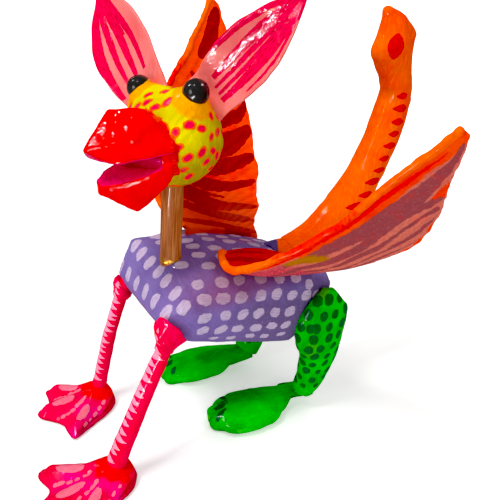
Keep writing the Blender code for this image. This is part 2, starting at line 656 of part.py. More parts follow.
def webbed_foot(outline, ankle, toe_height, ankle_height):
    """A flat sole with a top that rises from thin webs to the ankle."""
    count = len(outline) * 2
    points = []
    for k in range(count):
        place = curve([(*p, 0.0) for p in outline] + [(*outline[0], 0.0)], k / count)
        points.append(place)
    centre = Vector((*ankle, 0.0))
    steps = (0.0, 0.2, 0.38, 0.62, 0.86, 1.0)
    bm = bmesh.new()
    hub = bm.verts.new((centre.x, centre.y, ankle_height))
    rings = []
    for step in steps[1:]:
        ring = []
        for place in points:
            spot = centre.lerp(place, step)
            reach = (spot - centre).length
            rise = (ankle_height - toe_height) * math.exp(-(reach / 8.5) ** 2)
            height = toe_height + rise
            if step == 1.0:
                height = toe_height * 0.5
            ring.append(bm.verts.new((spot.x, spot.y, height)))
        rings.append(ring)
    sole = [bm.verts.new((*centre.lerp(place, 0.95).xy, 0.0)) for place in points]
    for k in range(count):
        j = (k + 1) % count
        bm.faces.new((hub, rings[0][k], rings[0][j]))
        for inner, outer in zip(rings, rings[1:] + [sole]):
            bm.faces.new((inner[k], outer[k], outer[j], inner[j]))
    bm.faces.new(list(reversed(sole)))
    return bm


HIND_FOOT_LEFT = (
    (16.0, 83.5, 8.0, 5.4, 6.2), (14.0, 76.0, 6.6, 6.2, 6.4), (12.2, 69.0, 5.6, 6.4, 5.8), (12.8, 61.5, 6.0, 8.8, 6.6),
    (14.2, 53.5, 6.8, 11.8, 7.6), (15.4, 45.0, 7.2, 13.2, 8.6), (15.0, 37.0, 7.2, 13.4, 8.8), (13.4, 30.0, 6.8, 11.4, 8.2),
    (11.0, 25.0, 6.0, 8.0, 6.8), (9.0, 21.8, 5.4, 4.2, 4.6),
)
HIND_FOOT_RIGHT = (
    (-27.0, 66.0, 8.3, 5.8, 6.4), (-28.0, 58.0, 7.0, 7.5, 7.6), (-29.5, 50.0, 6.8, 9.5, 7.8), (-30.5, 42.0, 6.8, 11.0, 7.8),
    (-31.0, 33.0, 6.8, 12.0, 7.8), (-32.0, 25.0, 6.2, 11.5, 7.2), (-33.0, 17.0, 5.0, 9.0, 6.4), (-34.0, 11.2, 4.0, 4.8, 4.4),
)


def hind_foot_solid(stations, extra=0.0):
    path = [s[:3] for s in stations]
    sizes = [(s[3], s[4], 0.0) for s in stations]
    steps = 14
    smooth = []
    for i in range(steps + 1):
        place = curve(path, i / steps)
        size = curve(sizes, i / steps)
        smooth.append((*place, size[0] + extra, size[1] + extra))
    return limb(smooth)


def build_legs(root):
    pink = material("leg_paint", HOT_PINK, 0.25)
    collar_pink = material("collar_paint", HOT_PINK, 0.25)
    foot_pink = material("front_foot_paint", HOT_PINK, 0.25)
    green = material("hind_leg_paint", GREEN, 0.3)
    foot_green = material("hind_foot_paint", GREEN, 0.25)
    raw = material("hind_peg_wood", RAW_WOOD, 0.7)
    front = {"left": (FRONT_LEG_LEFT, LEFT_LEG_RADII, COLLAR_LEFT, FOOT_LEFT, (24.8, -37.0), 6.5, 14.5),
             "right": (FRONT_LEG_RIGHT, RIGHT_LEG_RADII, COLLAR_RIGHT, FOOT_RIGHT, (-30.4, -28.5), 6.0, 14.0)}
    made = []
    for side, (path, radii, collar, outline, ankle, toe_height, ankle_height) in front.items():
        leg = add_object("front_leg_" + side, front_leg_solid(path, radii))
        made.append(finish(leg, pink))
        wrap = add_object("leg_collar_" + side, hull(collar))
        cut(wrap, [add_object("trunk", body_hull(GAP)), add_object("shaft", front_leg_solid(path, radii, GAP))])
        tidy(wrap)
        made.append(finish(wrap, collar_pink, 50.0))
        foot = add_object("front_foot_" + side, webbed_foot(outline, ankle, toe_height, ankle_height))
        cut(foot, [add_object("shaft", front_leg_solid(path, radii, GAP))])
        tidy(foot)
        made.append(finish(foot, foot_pink, 50.0))
    hind = {"left": (THIGH_LEFT, HIND_FOOT_LEFT), "right": (THIGH_RIGHT, HIND_FOOT_RIGHT)}
    for side, (stations, foot_stations) in hind.items():
        leg = add_object("hind_leg_" + side, thigh_solid(stations))
        cutters = [hind_peg_solid(side, GAP), hind_foot_solid(foot_stations, GAP)]
        ground = box((-60.0, 0.0, -20.0), (60.0, 120.0, 0.0))
        cut(leg, [add_object("cutter", bm) for bm in cutters])
        tidy(leg)
        made.append(finish(leg, green))
        foot = add_object("hind_foot_" + side, hind_foot_solid(foot_stations))
        cut(foot, [add_object("ground", ground)])
        tidy(foot)
        made.append(finish(foot, foot_green))
        peg = add_object("hind_peg_" + side, hind_peg_solid(side))
        made.append(finish(peg, raw))
    for obj in made:
        obj.parent = root


def stand_over_origin(root):
    """Move the figure so that the middle of its box is over the origin and its soles are at z = 0."""
    bpy.context.view_layer.update()
    corners = []
    for obj in bpy.data.objects:
        if obj.type == "MESH":
            corners += [obj.matrix_world @ vert.co for vert in obj.data.vertices]
    middle = [(min(c[i] for c in corners) + max(c[i] for c in corners)) / 2.0 for i in (0, 1)]
    lowest = min(c[2] for c in corners)
    root.location = (-middle[0], -middle[1], -lowest)
    bpy.context.view_layer.update()


def build():
    clear_scene()
    root = bpy.data.objects.new("figure", None)
    bpy.context.scene.collection.objects.link(root)
    build_body(root)
    build_head(root)
    build_wings(root)
    build_tail(root)
    build_legs(root)
    stand_over_origin(root)


build()
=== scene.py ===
# Painted papier-mache alebrije: the looks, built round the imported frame.
# Working lengths are millimetres, measured from the ground point under the neck rod:
# the figure faces -Y, its left side is +X, +Z is up.
import json
import math
import bpy
import bmesh
import numpy as np
from mathutils import Matrix, Vector


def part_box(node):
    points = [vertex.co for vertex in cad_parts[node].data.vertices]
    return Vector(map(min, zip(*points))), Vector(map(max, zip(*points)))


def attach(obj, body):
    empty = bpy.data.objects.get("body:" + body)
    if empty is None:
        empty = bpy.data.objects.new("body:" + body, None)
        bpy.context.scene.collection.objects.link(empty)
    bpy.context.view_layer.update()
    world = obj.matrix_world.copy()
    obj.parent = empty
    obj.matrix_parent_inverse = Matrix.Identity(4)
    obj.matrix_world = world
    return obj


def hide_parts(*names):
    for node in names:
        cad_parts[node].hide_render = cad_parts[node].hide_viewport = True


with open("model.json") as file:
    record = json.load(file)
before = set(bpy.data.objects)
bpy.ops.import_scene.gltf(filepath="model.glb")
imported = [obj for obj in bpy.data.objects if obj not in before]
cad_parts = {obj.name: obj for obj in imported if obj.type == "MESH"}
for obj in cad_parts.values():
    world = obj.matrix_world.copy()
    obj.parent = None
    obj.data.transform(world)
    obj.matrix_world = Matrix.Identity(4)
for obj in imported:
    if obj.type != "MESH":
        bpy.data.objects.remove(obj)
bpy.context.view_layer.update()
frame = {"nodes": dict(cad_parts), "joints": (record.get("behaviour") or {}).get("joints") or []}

MM = 0.001
NECK = Vector([j["pos_m"] for j in frame["joints"] if j["name"] == "head_turn"][0])
HEAD_CENTRE = np.array([0.0, 0.0, NECK.z / MM])
HEAD_YAW = 25.0
HEAD_ROLL = 10.0
HEAD_RADIUS = 20.6
EYES = {"left": (16.3, -2.0, 19.8), "right": (-15.3, -1.4, 20.0)}
EYE_RADIUS = 5.3
GAZES = {"left": (0.52, 0.22, 0.64), "right": (-0.42, -0.59, 0.70)}


# ---------------------------------------------------------------- numbers and fields

def srgb(r, g, b):
    """A colour as seen on a screen, 0 to 255, turned into Blender's linear values."""
    out = []
    for value in (r, g, b):
        c = value / 255.0
        out.append(c / 12.92 if c <= 0.04045 else ((c + 0.055) / 1.055) ** 2.4)
    return tuple(out) + (1.0,)


def unit(vec):
    vec = np.asarray(vec, float)
    return vec / np.linalg.norm(vec)


def smoothstep(low, high, x):
    t = np.clip((x - low) / (high - low), 0.0, 1.0)
    return t * t * (3.0 - 2.0 * t)


class Lumps:
    """Smooth random field over space, for hand-made unevenness."""

    def __init__(self, seed):
        self.grid = np.random.default_rng(seed).uniform(-1.0, 1.0, (32, 32, 32))

    def __call__(self, points, size):
        q = points / size + 100.0
        base = np.floor(q).astype(int)
        f = q - base
        f = f * f * (3.0 - 2.0 * f)
        total = np.zeros(len(points))
        for dx in (0, 1):
            for dy in (0, 1):
                for dz in (0, 1):
                    value = self.grid[(base[:, 0] + dx) % 32, (base[:, 1] + dy) % 32, (base[:, 2] + dz) % 32]
                    wx = f[:, 0] if dx else 1.0 - f[:, 0]
                    wy = f[:, 1] if dy else 1.0 - f[:, 1]
                    wz = f[:, 2] if dz else 1.0 - f[:, 2]
                    total += value * wx * wy * wz
        return total


def curve(points, t):
    """Catmull-Rom curve through points at parameters t from 0 to 1."""
    pts = np.asarray(points, float)
    spans = len(pts) - 1
    at = np.clip(np.atleast_1d(t), 0.0, 1.0) * spans
    i = np.minimum(at.astype(int), spans - 1)
    f = (at - i)[:, None]
    p0, p1, p2, p3 = (pts[np.clip(i + k, 0, spans)] for k in (-1, 0, 1, 2))
    return 0.5 * (2.0 * p1 + (p2 - p0) * f + (2.0 * p0 - 5.0 * p1 + 4.0 * p2 - p3) * f ** 2
                  + (3.0 * p1 - p0 - 3.0 * p2 + p3) * f ** 3)


# ---------------------------------------------------------------- meshes

class Shape:
    """Points in millimetres, faces, and one number per point for each named paint field."""

    def __init__(self, points, faces):
        self.points = np.asarray(points, float)
        self.faces = faces
        self.fields = {}

    def mesh(self, name):
        mesh = bpy.data.meshes.new(name)
        mesh.from_pydata(self.points.tolist(), [], [list(map(int, face)) for face in self.faces])
        mesh.validate()
        mesh.update()
        return mesh

    def normals(self):
        mesh = self.mesh("scratch")
        out = np.zeros(len(mesh.vertices) * 3, np.float32)
        mesh.vertex_normals.foreach_get("vector", out)
        bpy.data.meshes.remove(mesh)
        return out.reshape(-1, 3).astype(float)

    def edges(self):
        pairs = set()
        for face in self.faces:
            for a, b in zip(face, list(face[1:]) + [face[0]]):
                pairs.add((a, b) if a < b else (b, a))
        return np.array(sorted(pairs))

    def relax(self, rounds, share=0.5):
        edges = self.edges()
        count = np.bincount(edges.ravel(), minlength=len(self.points)).astype(float)
        for _ in range(rounds):
            total = np.zeros_like(self.points)
            for axis in range(3):
                total[:, axis] = np.bincount(edges[:, 0], self.points[edges[:, 1], axis], len(self.points))
                total[:, axis] += np.bincount(edges[:, 1], self.points[edges[:, 0], axis], len(self.points))
            self.points += share * (total / count[:, None] - self.points)
        return self

    def swell(self, amounts):
        self.points = self.points + self.normals() * np.asarray(amounts)[:, None]
        return self


def node_points(*names):
    """CAD points of some nodes, in working millimetres."""
    rows = []
    for name in names:
        for vert in frame["nodes"][name].data.vertices:
            rows.append(((vert.co.x - NECK.x) / MM, (vert.co.y - NECK.y) / MM, vert.co.z / MM))
    return np.array(rows)


def node_shape(name):
    """A CAD node as one welded Shape."""
    bm = bmesh.new()
    bm.from_mesh(frame["nodes"][name].data)
    bmesh.ops.remove_doubles(bm, verts=bm.verts[:], dist=1e-6)
    shape = from_bmesh(bm)
    shape.points = (shape.points - np.array([NECK.x, NECK.y, 0.0])) / MM
    return shape


def from_bmesh(bm):
    bm.verts.index_update()
    points = [tuple(v.co) for v in bm.verts]
    faces = [[v.index for v in f.verts] for f in bm.faces]
    bm.free()
    return Shape(points, faces)


def hull(points):
    bm = bmesh.new()
    for point in points:
        bm.verts.new(point)
    result = bmesh.ops.convex_hull(bm, input=bm.verts[:])
    spare = [item for item in result["geom_interior"] if isinstance(item, bmesh.types.BMVert)]
    spare += [v for v in result["geom_unused"] if isinstance(v, bmesh.types.BMVert)]
    bmesh.ops.delete(bm, geom=list(set(spare)), context="VERTS")
    return from_bmesh(bm)


def remesh(shape, size, rounds=6):
    """Rebuild a closed shape with even small faces, then round its edges like wet paper."""
    mesh = shape.mesh("remesh")
    obj = bpy.data.objects.new("remesh", mesh)
    bpy.context.scene.collection.objects.link(obj)
    step = obj.modifiers.new("voxels", "REMESH")
    step.mode = "VOXEL"
    step.voxel_size = size
    bpy.context.view_layer.update()
    view = bpy.context.evaluated_depsgraph_get()
    result = bpy.data.meshes.new_from_object(obj.evaluated_get(view))
    bpy.data.objects.remove(obj, do_unlink=True)
    points = np.zeros(len(result.vertices) * 3, np.float32)
    result.vertices.foreach_get("co", points)
    faces = [list(f.vertices) for f in result.polygons]
    bpy.data.meshes.remove(result)
    return Shape(points.reshape(-1, 3), faces).relax(rounds)


def tube(rings):
    """Close a stack of equal rings, each end with a fan. rings is (rows, around, 3)."""
    rings = np.asarray(rings, float)
    rows, around = rings.shape[:2]
    points = list(rings.reshape(-1, 3)) + [rings[0].mean(0), rings[-1].mean(0)]
    faces = []
    for i in range(rows - 1):
        for k in range(around):
            j = (k + 1) % around
            faces.append([i * around + k, i * around + j, (i + 1) * around + j, (i + 1) * around + k])
    low, high = rows * around, rows * around + 1
    last = (rows - 1) * around
    for k in range(around):
        j = (k + 1) % around
        faces.append([j, k, low])
        faces.append([last + k, last + j, high])
    return Shape(points, faces)


def panel(middle, thickness):
    """A card of even thickness round a grid of points (rows, columns, 3), with fields u, v and side."""
    rows, columns = middle.shape[:2]
    along = np.gradient(middle, axis=0)
    across = np.gradient(middle, axis=1)
    normal = np.cross(along, across)
    normal /= np.linalg.norm(normal, axis=2, keepdims=True) + 1e-12
    half = np.broadcast_to(thickness, (rows, columns))[:, :, None] / 2.0
    points = np.concatenate([(middle + normal * half).reshape(-1, 3), (middle - normal * half).reshape(-1, 3)])
    shift = rows * columns
    faces = []
    for i in range(rows - 1):
        for j in range(columns - 1):
            a, b, c, d = i * columns + j, (i + 1) * columns + j, (i + 1) * columns + j + 1, i * columns + j + 1
            faces.append([a, b, c, d])
            faces.append([d + shift, c + shift, b + shift, a + shift])
    edge = [(i, 0) for i in range(rows - 1)] + [(rows - 1, j) for j in range(columns - 1)]
    edge += [(i, columns - 1) for i in range(rows - 1, 0, -1)] + [(0, j) for j in range(columns - 1, 0, -1)]
    ring = [i * columns + j for i, j in edge]
    for a, b in zip(ring, ring[1:] + ring[:1]):
        faces.append([b, a, a + shift, b + shift])
    shape = Shape(points, faces)
    u, v = np.meshgrid(np.linspace(0, 1, rows), np.linspace(0, 1, columns), indexing="ij")
    shape.fields["u"] = np.concatenate([u.ravel()] * 2)
    shape.fields["v"] = np.concatenate([v.ravel()] * 2)
    shape.fields["side"] = np.concatenate([np.ones(shift), -np.ones(shift)])
    return shape


def cut_apart(shape, place, normal):
    """Saw a closed shape in two along a plane: the part behind it and the part in front, each closed again."""
    parts = []
    for sign in (1.0, -1.0):
        bm = bmesh.new()
        verts = [bm.verts.new(point) for point in shape.points]
        for face in shape.faces:
            bm.faces.new([verts[i] for i in face])
        geom = bm.verts[:] + bm.edges[:] + bm.faces[:]
        bmesh.ops.bisect_plane(bm, geom=geom, plane_co=place, plane_no=Vector(normal) * sign, clear_outer=True)
        rim = [edge for edge in bm.edges if edge.is_boundary]
        caps = bmesh.ops.holes_fill(bm, edges=rim)["faces"]
        caps = bmesh.ops.triangulate(bm, faces=caps)["faces"]
        bmesh.ops.split_edges(bm, edges=list({edge for face in caps for edge in face.edges if edge in set(rim)}))
        parts.append(from_bmesh(bm))
    return parts


def trim(shape, normal, reach, above=-1.0):
    """Press everything beyond a plane back onto it."""
    over = np.maximum(0.0, shape.points @ np.asarray(normal) - reach) * (shape.points[:, 2] > above)
    shape.points = shape.points - over[:, None] * np.asarray(normal)
    return shape


def around_limb(points, z, spacing, phase):
    """Evenly spaced places round a limb at one height, with the way each one looks."""
    band = points[np.abs(points[:, 2] - z) < 1.3]
    if len(band) < 20:
        return []
    middle = (band.min(0) + band.max(0)) / 2.0
    turn = np.arctan2(band[:, 1] - middle[1], band[:, 0] - middle[0])
    radius = np.hypot(band[:, 1] - middle[1], band[:, 0] - middle[0])
    angles = np.linspace(-math.pi, math.pi, 73)
    order = np.argsort(turn)
    ring = np.interp(angles, turn[order], radius[order], period=2.0 * math.pi)
    edge = np.stack([middle[0] + ring * np.cos(angles), middle[1] + ring * np.sin(angles)], -1)
    length = np.concatenate([[0.0], np.cumsum(np.linalg.norm(np.diff(edge, axis=0), axis=1))])
    count = max(3, round(length[-1] / spacing))
    places = []
    for k in range(count):
        at = ((k + phase) % count) / count * length[-1]
        x, y = np.interp(at, length, edge[:, 0]), np.interp(at, length, edge[:, 1])
        places.append(((x, y, z), unit((x - middle[0], y - middle[1], 0.0))))
    return places


def show(name, shape, material, body, nodes):
    """Put a finished shape in the scene, riding on its CAD body and standing for its CAD nodes."""
    world = Shape(shape.points * MM + np.array([NECK.x, NECK.y, 0.0]), shape.faces)
    mesh = world.mesh(name)
    for key, values in shape.fields.items():
        field = mesh.attributes.new(key, "FLOAT", "POINT")
        field.data.foreach_set("value", np.asarray(values, np.float32))
    mesh.shade_smooth()
    mesh.materials.append(material)
    obj = bpy.data.objects.new(name, mesh)
    bpy.context.scene.collection.objects.link(obj)
    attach(obj, body)
    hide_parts(*nodes)
    return obj


# ---------------------------------------------------------------- paint dabs

def settle(points, normals, place, facing=None, least=0.3):
    """The surface point nearest to a place, looking one way if asked: its position and normal."""
    gap = ((points - np.asarray(place, float)) ** 2).sum(1)
    if facing is not None:
        gap = np.where(normals @ unit(facing) > least, gap, gap + 1e6)
    i = int(gap.argmin())
    return points[i], normals[i]


def dab(points, normals, place, long_way, length, width, facing=None, taper=0.0, least=0.3):
    centre, normal = settle(points, normals, place, facing, least)
    along = np.asarray(long_way, float)
    along = unit(along - normal * (along @ normal))
    return {"centre": centre, "normal": normal, "along": along, "across": np.cross(normal, along),
            "length": length, "width": width, "taper": taper}


def paint_dabs(shape, dabs, prefix, seed=1, square=2.3):
    """Fields for a set of dabs: signed distance to the nearest edge, place within the dab, and a random number."""
    points = shape.points
    normals = shape.normals()
    rng = np.random.default_rng(seed)
    best = np.full(len(points), 6.0)
    along = np.zeros(len(points))
    across = np.zeros(len(points))
    chance = np.zeros(len(points))
    for one in dabs:
        value = rng.uniform()
        offset = points - one["centre"]
        near = (np.abs(offset) < one["length"] + 5.0).all(1) & (normals @ one["normal"] > 0.1)
        index = np.where(near)[0]
        if not len(index):
            continue
        rel = offset[index]
        a = rel @ one["along"]
        b = rel @ one["across"]
        width = one["width"] * (1.0 - one["taper"] * a / one["length"])
        size = (np.abs(a / one["length"]) ** square + np.abs(b / width) ** square) ** (1.0 / square)
        dist = (size - 1.0) * min(one["length"], one["width"])
        dist = np.where(np.abs(rel @ one["normal"]) < 6.0, dist, 6.0)
        better = dist < best[index]
        chosen = index[better]
        best[chosen] = dist[better]
        along[chosen] = a[better]
        across[chosen] = b[better]
        chance[chosen] = value
    shape.fields[prefix] = best
    shape.fields[prefix + "_a"] = along
    shape.fields[prefix + "_b"] = across
    shape.fields[prefix + "_r"] = chance
    return shape


# ---------------------------------------------------------------- materials

class Graph:
    """Short names for the shader nodes of one material."""

    def __init__(self, name):
        self.material = bpy.data.materials.new(name)
        self.material.use_nodes = True
        self.tree = self.material.node_tree
        self.shader = self.tree.nodes["Principled BSDF"]
        where = self.tree.nodes.new("ShaderNodeTexCoord")
        scale = self.tree.nodes.new("ShaderNodeVectorMath")
        scale.operation = "SCALE"
        scale.inputs["Scale"].default_value = 1.0 / MM
        self.tree.links.new(where.outputs["Object"], scale.inputs[0])
        self.place = scale.outputs[0]

    def put(self, socket, value):
        if isinstance(value, bpy.types.NodeSocket):
            self.tree.links.new(value, socket)
        else:
            socket.default_value = value

    def calc(self, operation, a, b=0.0, c=0.0, clamp=False):
        node = self.tree.nodes.new("ShaderNodeMath")
        node.operation = operation
        node.use_clamp = clamp
        for socket, value in zip(node.inputs, (a, b, c)):
            self.put(socket, value)
        return node.outputs[0]

    def field(self, name):
        node = self.tree.nodes.new("ShaderNodeAttribute")
        node.attribute_name = name
        return node.outputs["Fac"]

    def noise(self, size, detail=2.0, rough=0.5, stretch=(1.0, 1.0, 1.0), vector=None, warp=0.0):
        """Noise from 0 to 1 with features of a size in millimetres."""
        node = self.tree.nodes.new("ShaderNodeTexNoise")
        shape = self.tree.nodes.new("ShaderNodeMapping")
        shape.inputs["Scale"].default_value = tuple(1.0 / (size * s) for s in stretch)
        self.tree.links.new(vector if vector is not None else self.place, shape.inputs["Vector"])
        self.tree.links.new(shape.outputs[0], node.inputs["Vector"])
        node.inputs["Scale"].default_value = 1.0
        node.inputs["Detail"].default_value = detail
        node.inputs["Roughness"].default_value = rough
        node.inputs["Distortion"].default_value = warp
        return node.outputs["Fac"]

    def vector(self, x, y, z):
        node = self.tree.nodes.new("ShaderNodeCombineXYZ")
        for socket, value in zip(node.inputs, (x, y, z)):
            self.put(socket, value)
        return node.outputs[0]

    def mix(self, share, a, b):
        node = self.tree.nodes.new("ShaderNodeMix")
        node.data_type = "RGBA"
        self.put(node.inputs["Factor"], share)
        self.put([s for s in node.inputs if s.name == "A" and s.type == "RGBA"][0], a)
        self.put([s for s in node.inputs if s.name == "B" and s.type == "RGBA"][0], b)
        return [s for s in node.outputs if s.type == "RGBA"][0]

    def step(self, value, low, high):
        """0 below low, 1 above high, smooth between."""
        node = self.tree.nodes.new("ShaderNodeMapRange")
        node.interpolation_type = "SMOOTHSTEP"
        self.put(node.inputs["Value"], value)
        node.inputs["From Min"].default_value = low
        node.inputs["From Max"].default_value = high
        return node.outputs["Result"]

    def bump(self, height, depth, before=None):
        node = self.tree.nodes.new("ShaderNodeBump")
        node.inputs["Strength"].default_value = 1.0
        node.inputs["Distance"].default_value = depth * MM
        self.put(node.inputs["Height"], height)
        if before is not None:
            self.tree.links.new(before, node.inputs["Normal"])
        return node.outputs[0]


def painted(name, base, dark, light, layers=(), rough=0.3, coat=0.5, streak=(1.0, 1.0, 5.0), relief=1.0,
            speckle=0.12, tone_and_shade=None):
    """Hand-brushed acrylic under gloss varnish. Each layer lies over the last:
    field (signed distance, inside is negative), colour, second colour, edge, wobble, thickness."""
    g = Graph(name)
    broad = g.noise(16.0, 2.0)
    brush = g.noise(1.1, 3.0, 0.6, streak, warp=0.3)
    colour = g.mix(g.step(broad, 0.35, 0.75), base, dark)
    # Second colour mixed in by a per-point field: random paint tone on some pieces, painted shade on the body and head,
    # and partly on the tail.
    if tone_and_shade:
        share = g.step(g.calc("ADD", g.field("tone_and_shade"), g.calc("SUBTRACT", broad, 0.5)), 0.0, 1.0)
        colour = g.mix(share, colour, tone_and_shade)
    colour = g.mix(g.calc("MULTIPLY", g.step(brush, 0.45, 0.8), 0.55), colour, light)
    height = g.calc("MULTIPLY", brush, 0.35)
    for layer in layers:
        field = g.field(layer["field"])
        wobble = g.calc("SUBTRACT", g.noise(layer.get("grain", 1.6), 2.0), 0.5)
        value = g.calc("ADD", field, g.calc("MULTIPLY", wobble, layer.get("wobble", 0.9)))
        value = g.calc("SUBTRACT", value, layer.get("edge", 0.0))
        soft = layer.get("soft", 0.12)
        mask = g.calc("SUBTRACT", 1.0, g.step(value, -soft, soft))
        if layer.get("lanes"):
            inner = g.vector(g.field(layer["field"] + "_a"), g.field(layer["field"] + "_b"),
                             g.calc("MULTIPLY", g.field(layer["field"] + "_r"), 40.0))
            lanes = g.noise(0.55, 2.0, 0.6, (6.0, 1.0, 1.0), vector=inner)
        else:
            lanes = g.noise(0.7, 3.0, 0.6, layer.get("streak", streak))
        tint = g.mix(g.step(lanes, 0.35, 0.72), layer["colour"], layer.get("second", layer["colour"]))
        cover = g.calc("MULTIPLY", mask, layer.get("cover", 1.0))
        if layer.get("dry"):
            thin = g.calc("SUBTRACT", 1.0, g.calc("MULTIPLY", g.step(lanes, 0.5, 0.8), layer["dry"]))
            cover = g.calc("MULTIPLY", cover, thin)
        colour = g.mix(cover, colour, tint)
        lift = g.calc("MULTIPLY", mask, g.calc("ADD", layer.get("lift", 0.6), g.calc("MULTIPLY", lanes, 0.5)))
        height = g.calc("ADD", height, lift)
    grime = g.calc("MULTIPLY", g.step(g.noise(7.0, 4.0, 0.65), 0.52, 0.75), 0.22)
    colour = g.mix(grime, colour, dark)
    g.put(g.shader.inputs["Base Color"], colour)
    g.shader.inputs["Specular IOR Level"].default_value = 0.0
    pulp = g.noise(4.5, 3.0, 0.55)
    first = g.bump(pulp, 0.55 * relief)
    second = g.bump(height, 0.10 * relief, first)
    crumbs = g.bump(g.noise(0.9, 2.0, 0.6), 0.05 * relief, second)
    g.put(g.shader.inputs["Normal"], crumbs)
    gloss = g.calc("ADD", rough, g.calc("MULTIPLY", g.calc("SUBTRACT", g.noise(6.0, 3.0), 0.5), 0.25))
    g.put(g.shader.inputs["Roughness"], gloss)
    g.shader.inputs["Coat Weight"].default_value = coat
    g.shader.inputs["Coat Roughness"].default_value = 0.045
    g.shader.inputs["Coat IOR"].default_value = 1.42
    skin = g.bump(g.noise(1.5, 2.0, 0.6), speckle, g.bump(pulp, 0.25 * relief))
    g.put(g.shader.inputs["Coat Normal"], skin)
    return g.material


# ---------------------------------------------------------------- head axes

def head_turn():
    yaw = Matrix.Rotation(math.radians(HEAD_YAW), 3, "Z")
    roll = Matrix.Rotation(math.radians(-HEAD_ROLL), 3, "Y")
    return np.array(yaw @ roll)


HEAD_AXES = head_turn()


def from_head(points):
    return np.asarray(points, float) @ HEAD_AXES.T + HEAD_CENTRE


def to_head(points):
    return (np.asarray(points, float) - HEAD_CENTRE) @ HEAD_AXES


# ---------------------------------------------------------------- body

# Flank rows as brushed on: start and end (y, z), how far out, upward look, bow, dabs, half length and half width.
FLANK_ROWS = (
    ((4.9, 102.3), (57.0, 94.0), 21.0, 0.9, 0.8, 6, 3.0, 2.3), ((5.5, 97.2), (64.0, 84.5), 26.0, 0.3, 1.6, 7, 3.3, 2.5),
    ((5.2, 90.3), (54.0, 79.0), 28.5, 0.1, 0.0, 6, 3.2, 2.3), ((3.8, 83.2), (52.0, 72.0), 29.5, 0.0, 0.0, 6, 3.0, 1.9),
    ((10.0, 76.4), (48.5, 66.6), 28.0, -0.2, 0.0, 5, 2.6, 1.2), ((66.0, 91.0), (70.0, 83.0), 24.0, 0.3, 0.0, 2, 2.6, 2.3),
)


def body_dabs(points, normals):
    """Rows of pale dots, laid face by face the way they were brushed on."""
    rng = np.random.default_rng(11)
    dabs = []
    for side in (1.0, -1.0):
        for start, end, out, look, bow, count, length, width in FLANK_ROWS:
            for column in range(count):
                t = column / (count - 1)
                y = start[0] + (end[0] - start[0]) * t + rng.uniform(-0.8, 0.8)
                z = start[1] + (end[1] - start[1]) * t + bow * math.sin(math.pi * t) + rng.uniform(-0.4, 0.4)
                lean = rng.uniform(-0.35, 0.25)
                size = rng.uniform(0.88, 1.08)
                dabs.append(dab(points, normals, (side * out, y, z), (0.0, 1.0, lean), 1.07 * length * size,
                                width * rng.uniform(1.0, 1.2), (side, 0.0, look), least=0.5))
    for row in range(7):
        for column in range(7):
            x = -24.0 + 8.0 * column + (4.0 if row % 2 else 0.0) + rng.uniform(-1.0, 1.0)
            y = 2.6 + 10.3 * row + rng.uniform(-0.8, 0.8)
            edge = 15.0 - 0.04 * y
            if x > edge or x < -26.0 or math.hypot(x, y) < 7.5:
                continue
            dabs.append(dab(points, normals, (x, y, 106.5 - 0.13 * y), (0.34, 0.94, 0.0), 3.3, 2.6,
                            (0.0, 0.0, 1.0), least=0.7))
    for column in range(7):
        x = -22.5 + 8.2 * column + rng.uniform(-0.5, 0.5)
        y = -9.4 + 0.10 * (x + 22.0)
        z = 101.8 - 0.03 * (x + 22.0) - 0.006 * max(0.0, x) ** 2
        dabs.append(dab(points, normals, (x, y, z), (-0.05, 0.7, 0.75), 3.8, 2.6, (0.1, -0.7, 0.6), least=0.5))
    for column in range(6):
        x = -28.5 + 10.2 * column + rng.uniform(-0.5, 0.5)
        z = 88.0 + 0.10 * (x + 26.0)
        dabs.append(dab(points, normals, (x, -13.6 + 0.04 * (x + 26.0), z), (0.03, 0.3, 0.95), 4.1, 2.4,
                        (0.0, -1.0, 0.1), least=0.6))
    return dabs


def build_body():
    shape = remesh(hull(node_points("body_lower_shell", "body_upper_shell")), 0.85, 10)
    lumps = Lumps(3)
    shape.swell(0.40 * lumps(shape.points, 13.0) + 0.16 * lumps(shape.points, 5.0) + 0.45)
    normals = shape.normals()
    paint_dabs(shape, body_dabs(shape.points, normals), "dots", 5, 2.4)
    # Painted reflection: a soft red-brown tint on the flank under the near wing stands in for the wing's red colour
    # bounced onto the body.
    under_wing = np.hypot((shape.points[:, 1] - 23.0) / 25.0, (shape.points[:, 2] - 99.0) / 7.0)
    shape.fields["blush_and_reflection"] = np.where(shape.points[:, 0] > 8.0, (under_wing - 1.0) * 7.0, 7.0)
    layers = [{"field": "dots", "colour": srgb(206, 188, 216), "second": srgb(186, 166, 202), "lanes": True,
               "wobble": 1.3, "dry": 0.35, "lift": 0.9},
              {"field": "blush_and_reflection", "colour": srgb(150, 64, 76), "second": srgb(140, 70, 96), "wobble": 3.0, "soft": 4.0,
               "grain": 6.0, "cover": 0.42, "lift": 0.0}]
    # Painted shade: the lilac darkens towards the lower rear of the body, where the flank lies in shade under the wing.
    low_rear_shade = smoothstep(102.0, 80.0, shape.points[:, 2]) * smoothstep(-5.0, 45.0, shape.points[:, 1])
    shape.fields["tone_and_shade"] = 1.15 * low_rear_shade - 0.1
    paint = painted("lilac_dots", srgb(134, 114, 179), srgb(116, 95, 157), srgb(150, 132, 194), layers,
                    rough=0.32, coat=0.45, streak=(5.0, 1.0, 1.0), tone_and_shade=srgb(114, 96, 142))
    show("body_skin", shape, paint, "figure", ["body_lower_shell", "body_upper_shell"])
    nub = remesh(node_shape("tail_socket"), 0.6, 6)
    nub.swell(0.3 + 0.3 * lumps(nub.points, 5.0))
    nub.fields["spill"] = 58.5 - nub.points[:, 1] - 0.5 * nub.points[:, 0]
    spill = [{"field": "spill", "colour": srgb(255, 112, 0), "second": srgb(255, 84, 0), "wobble": 2.0, "soft": 0.3}]
    root = painted("tail_root", srgb(96, 84, 140), srgb(74, 64, 112), srgb(124, 108, 170), spill, rough=0.3, coat=0.4)
    show("tail_nub", nub, root, "figure", ["tail_socket"])


# ---------------------------------------------------------------- neck rod

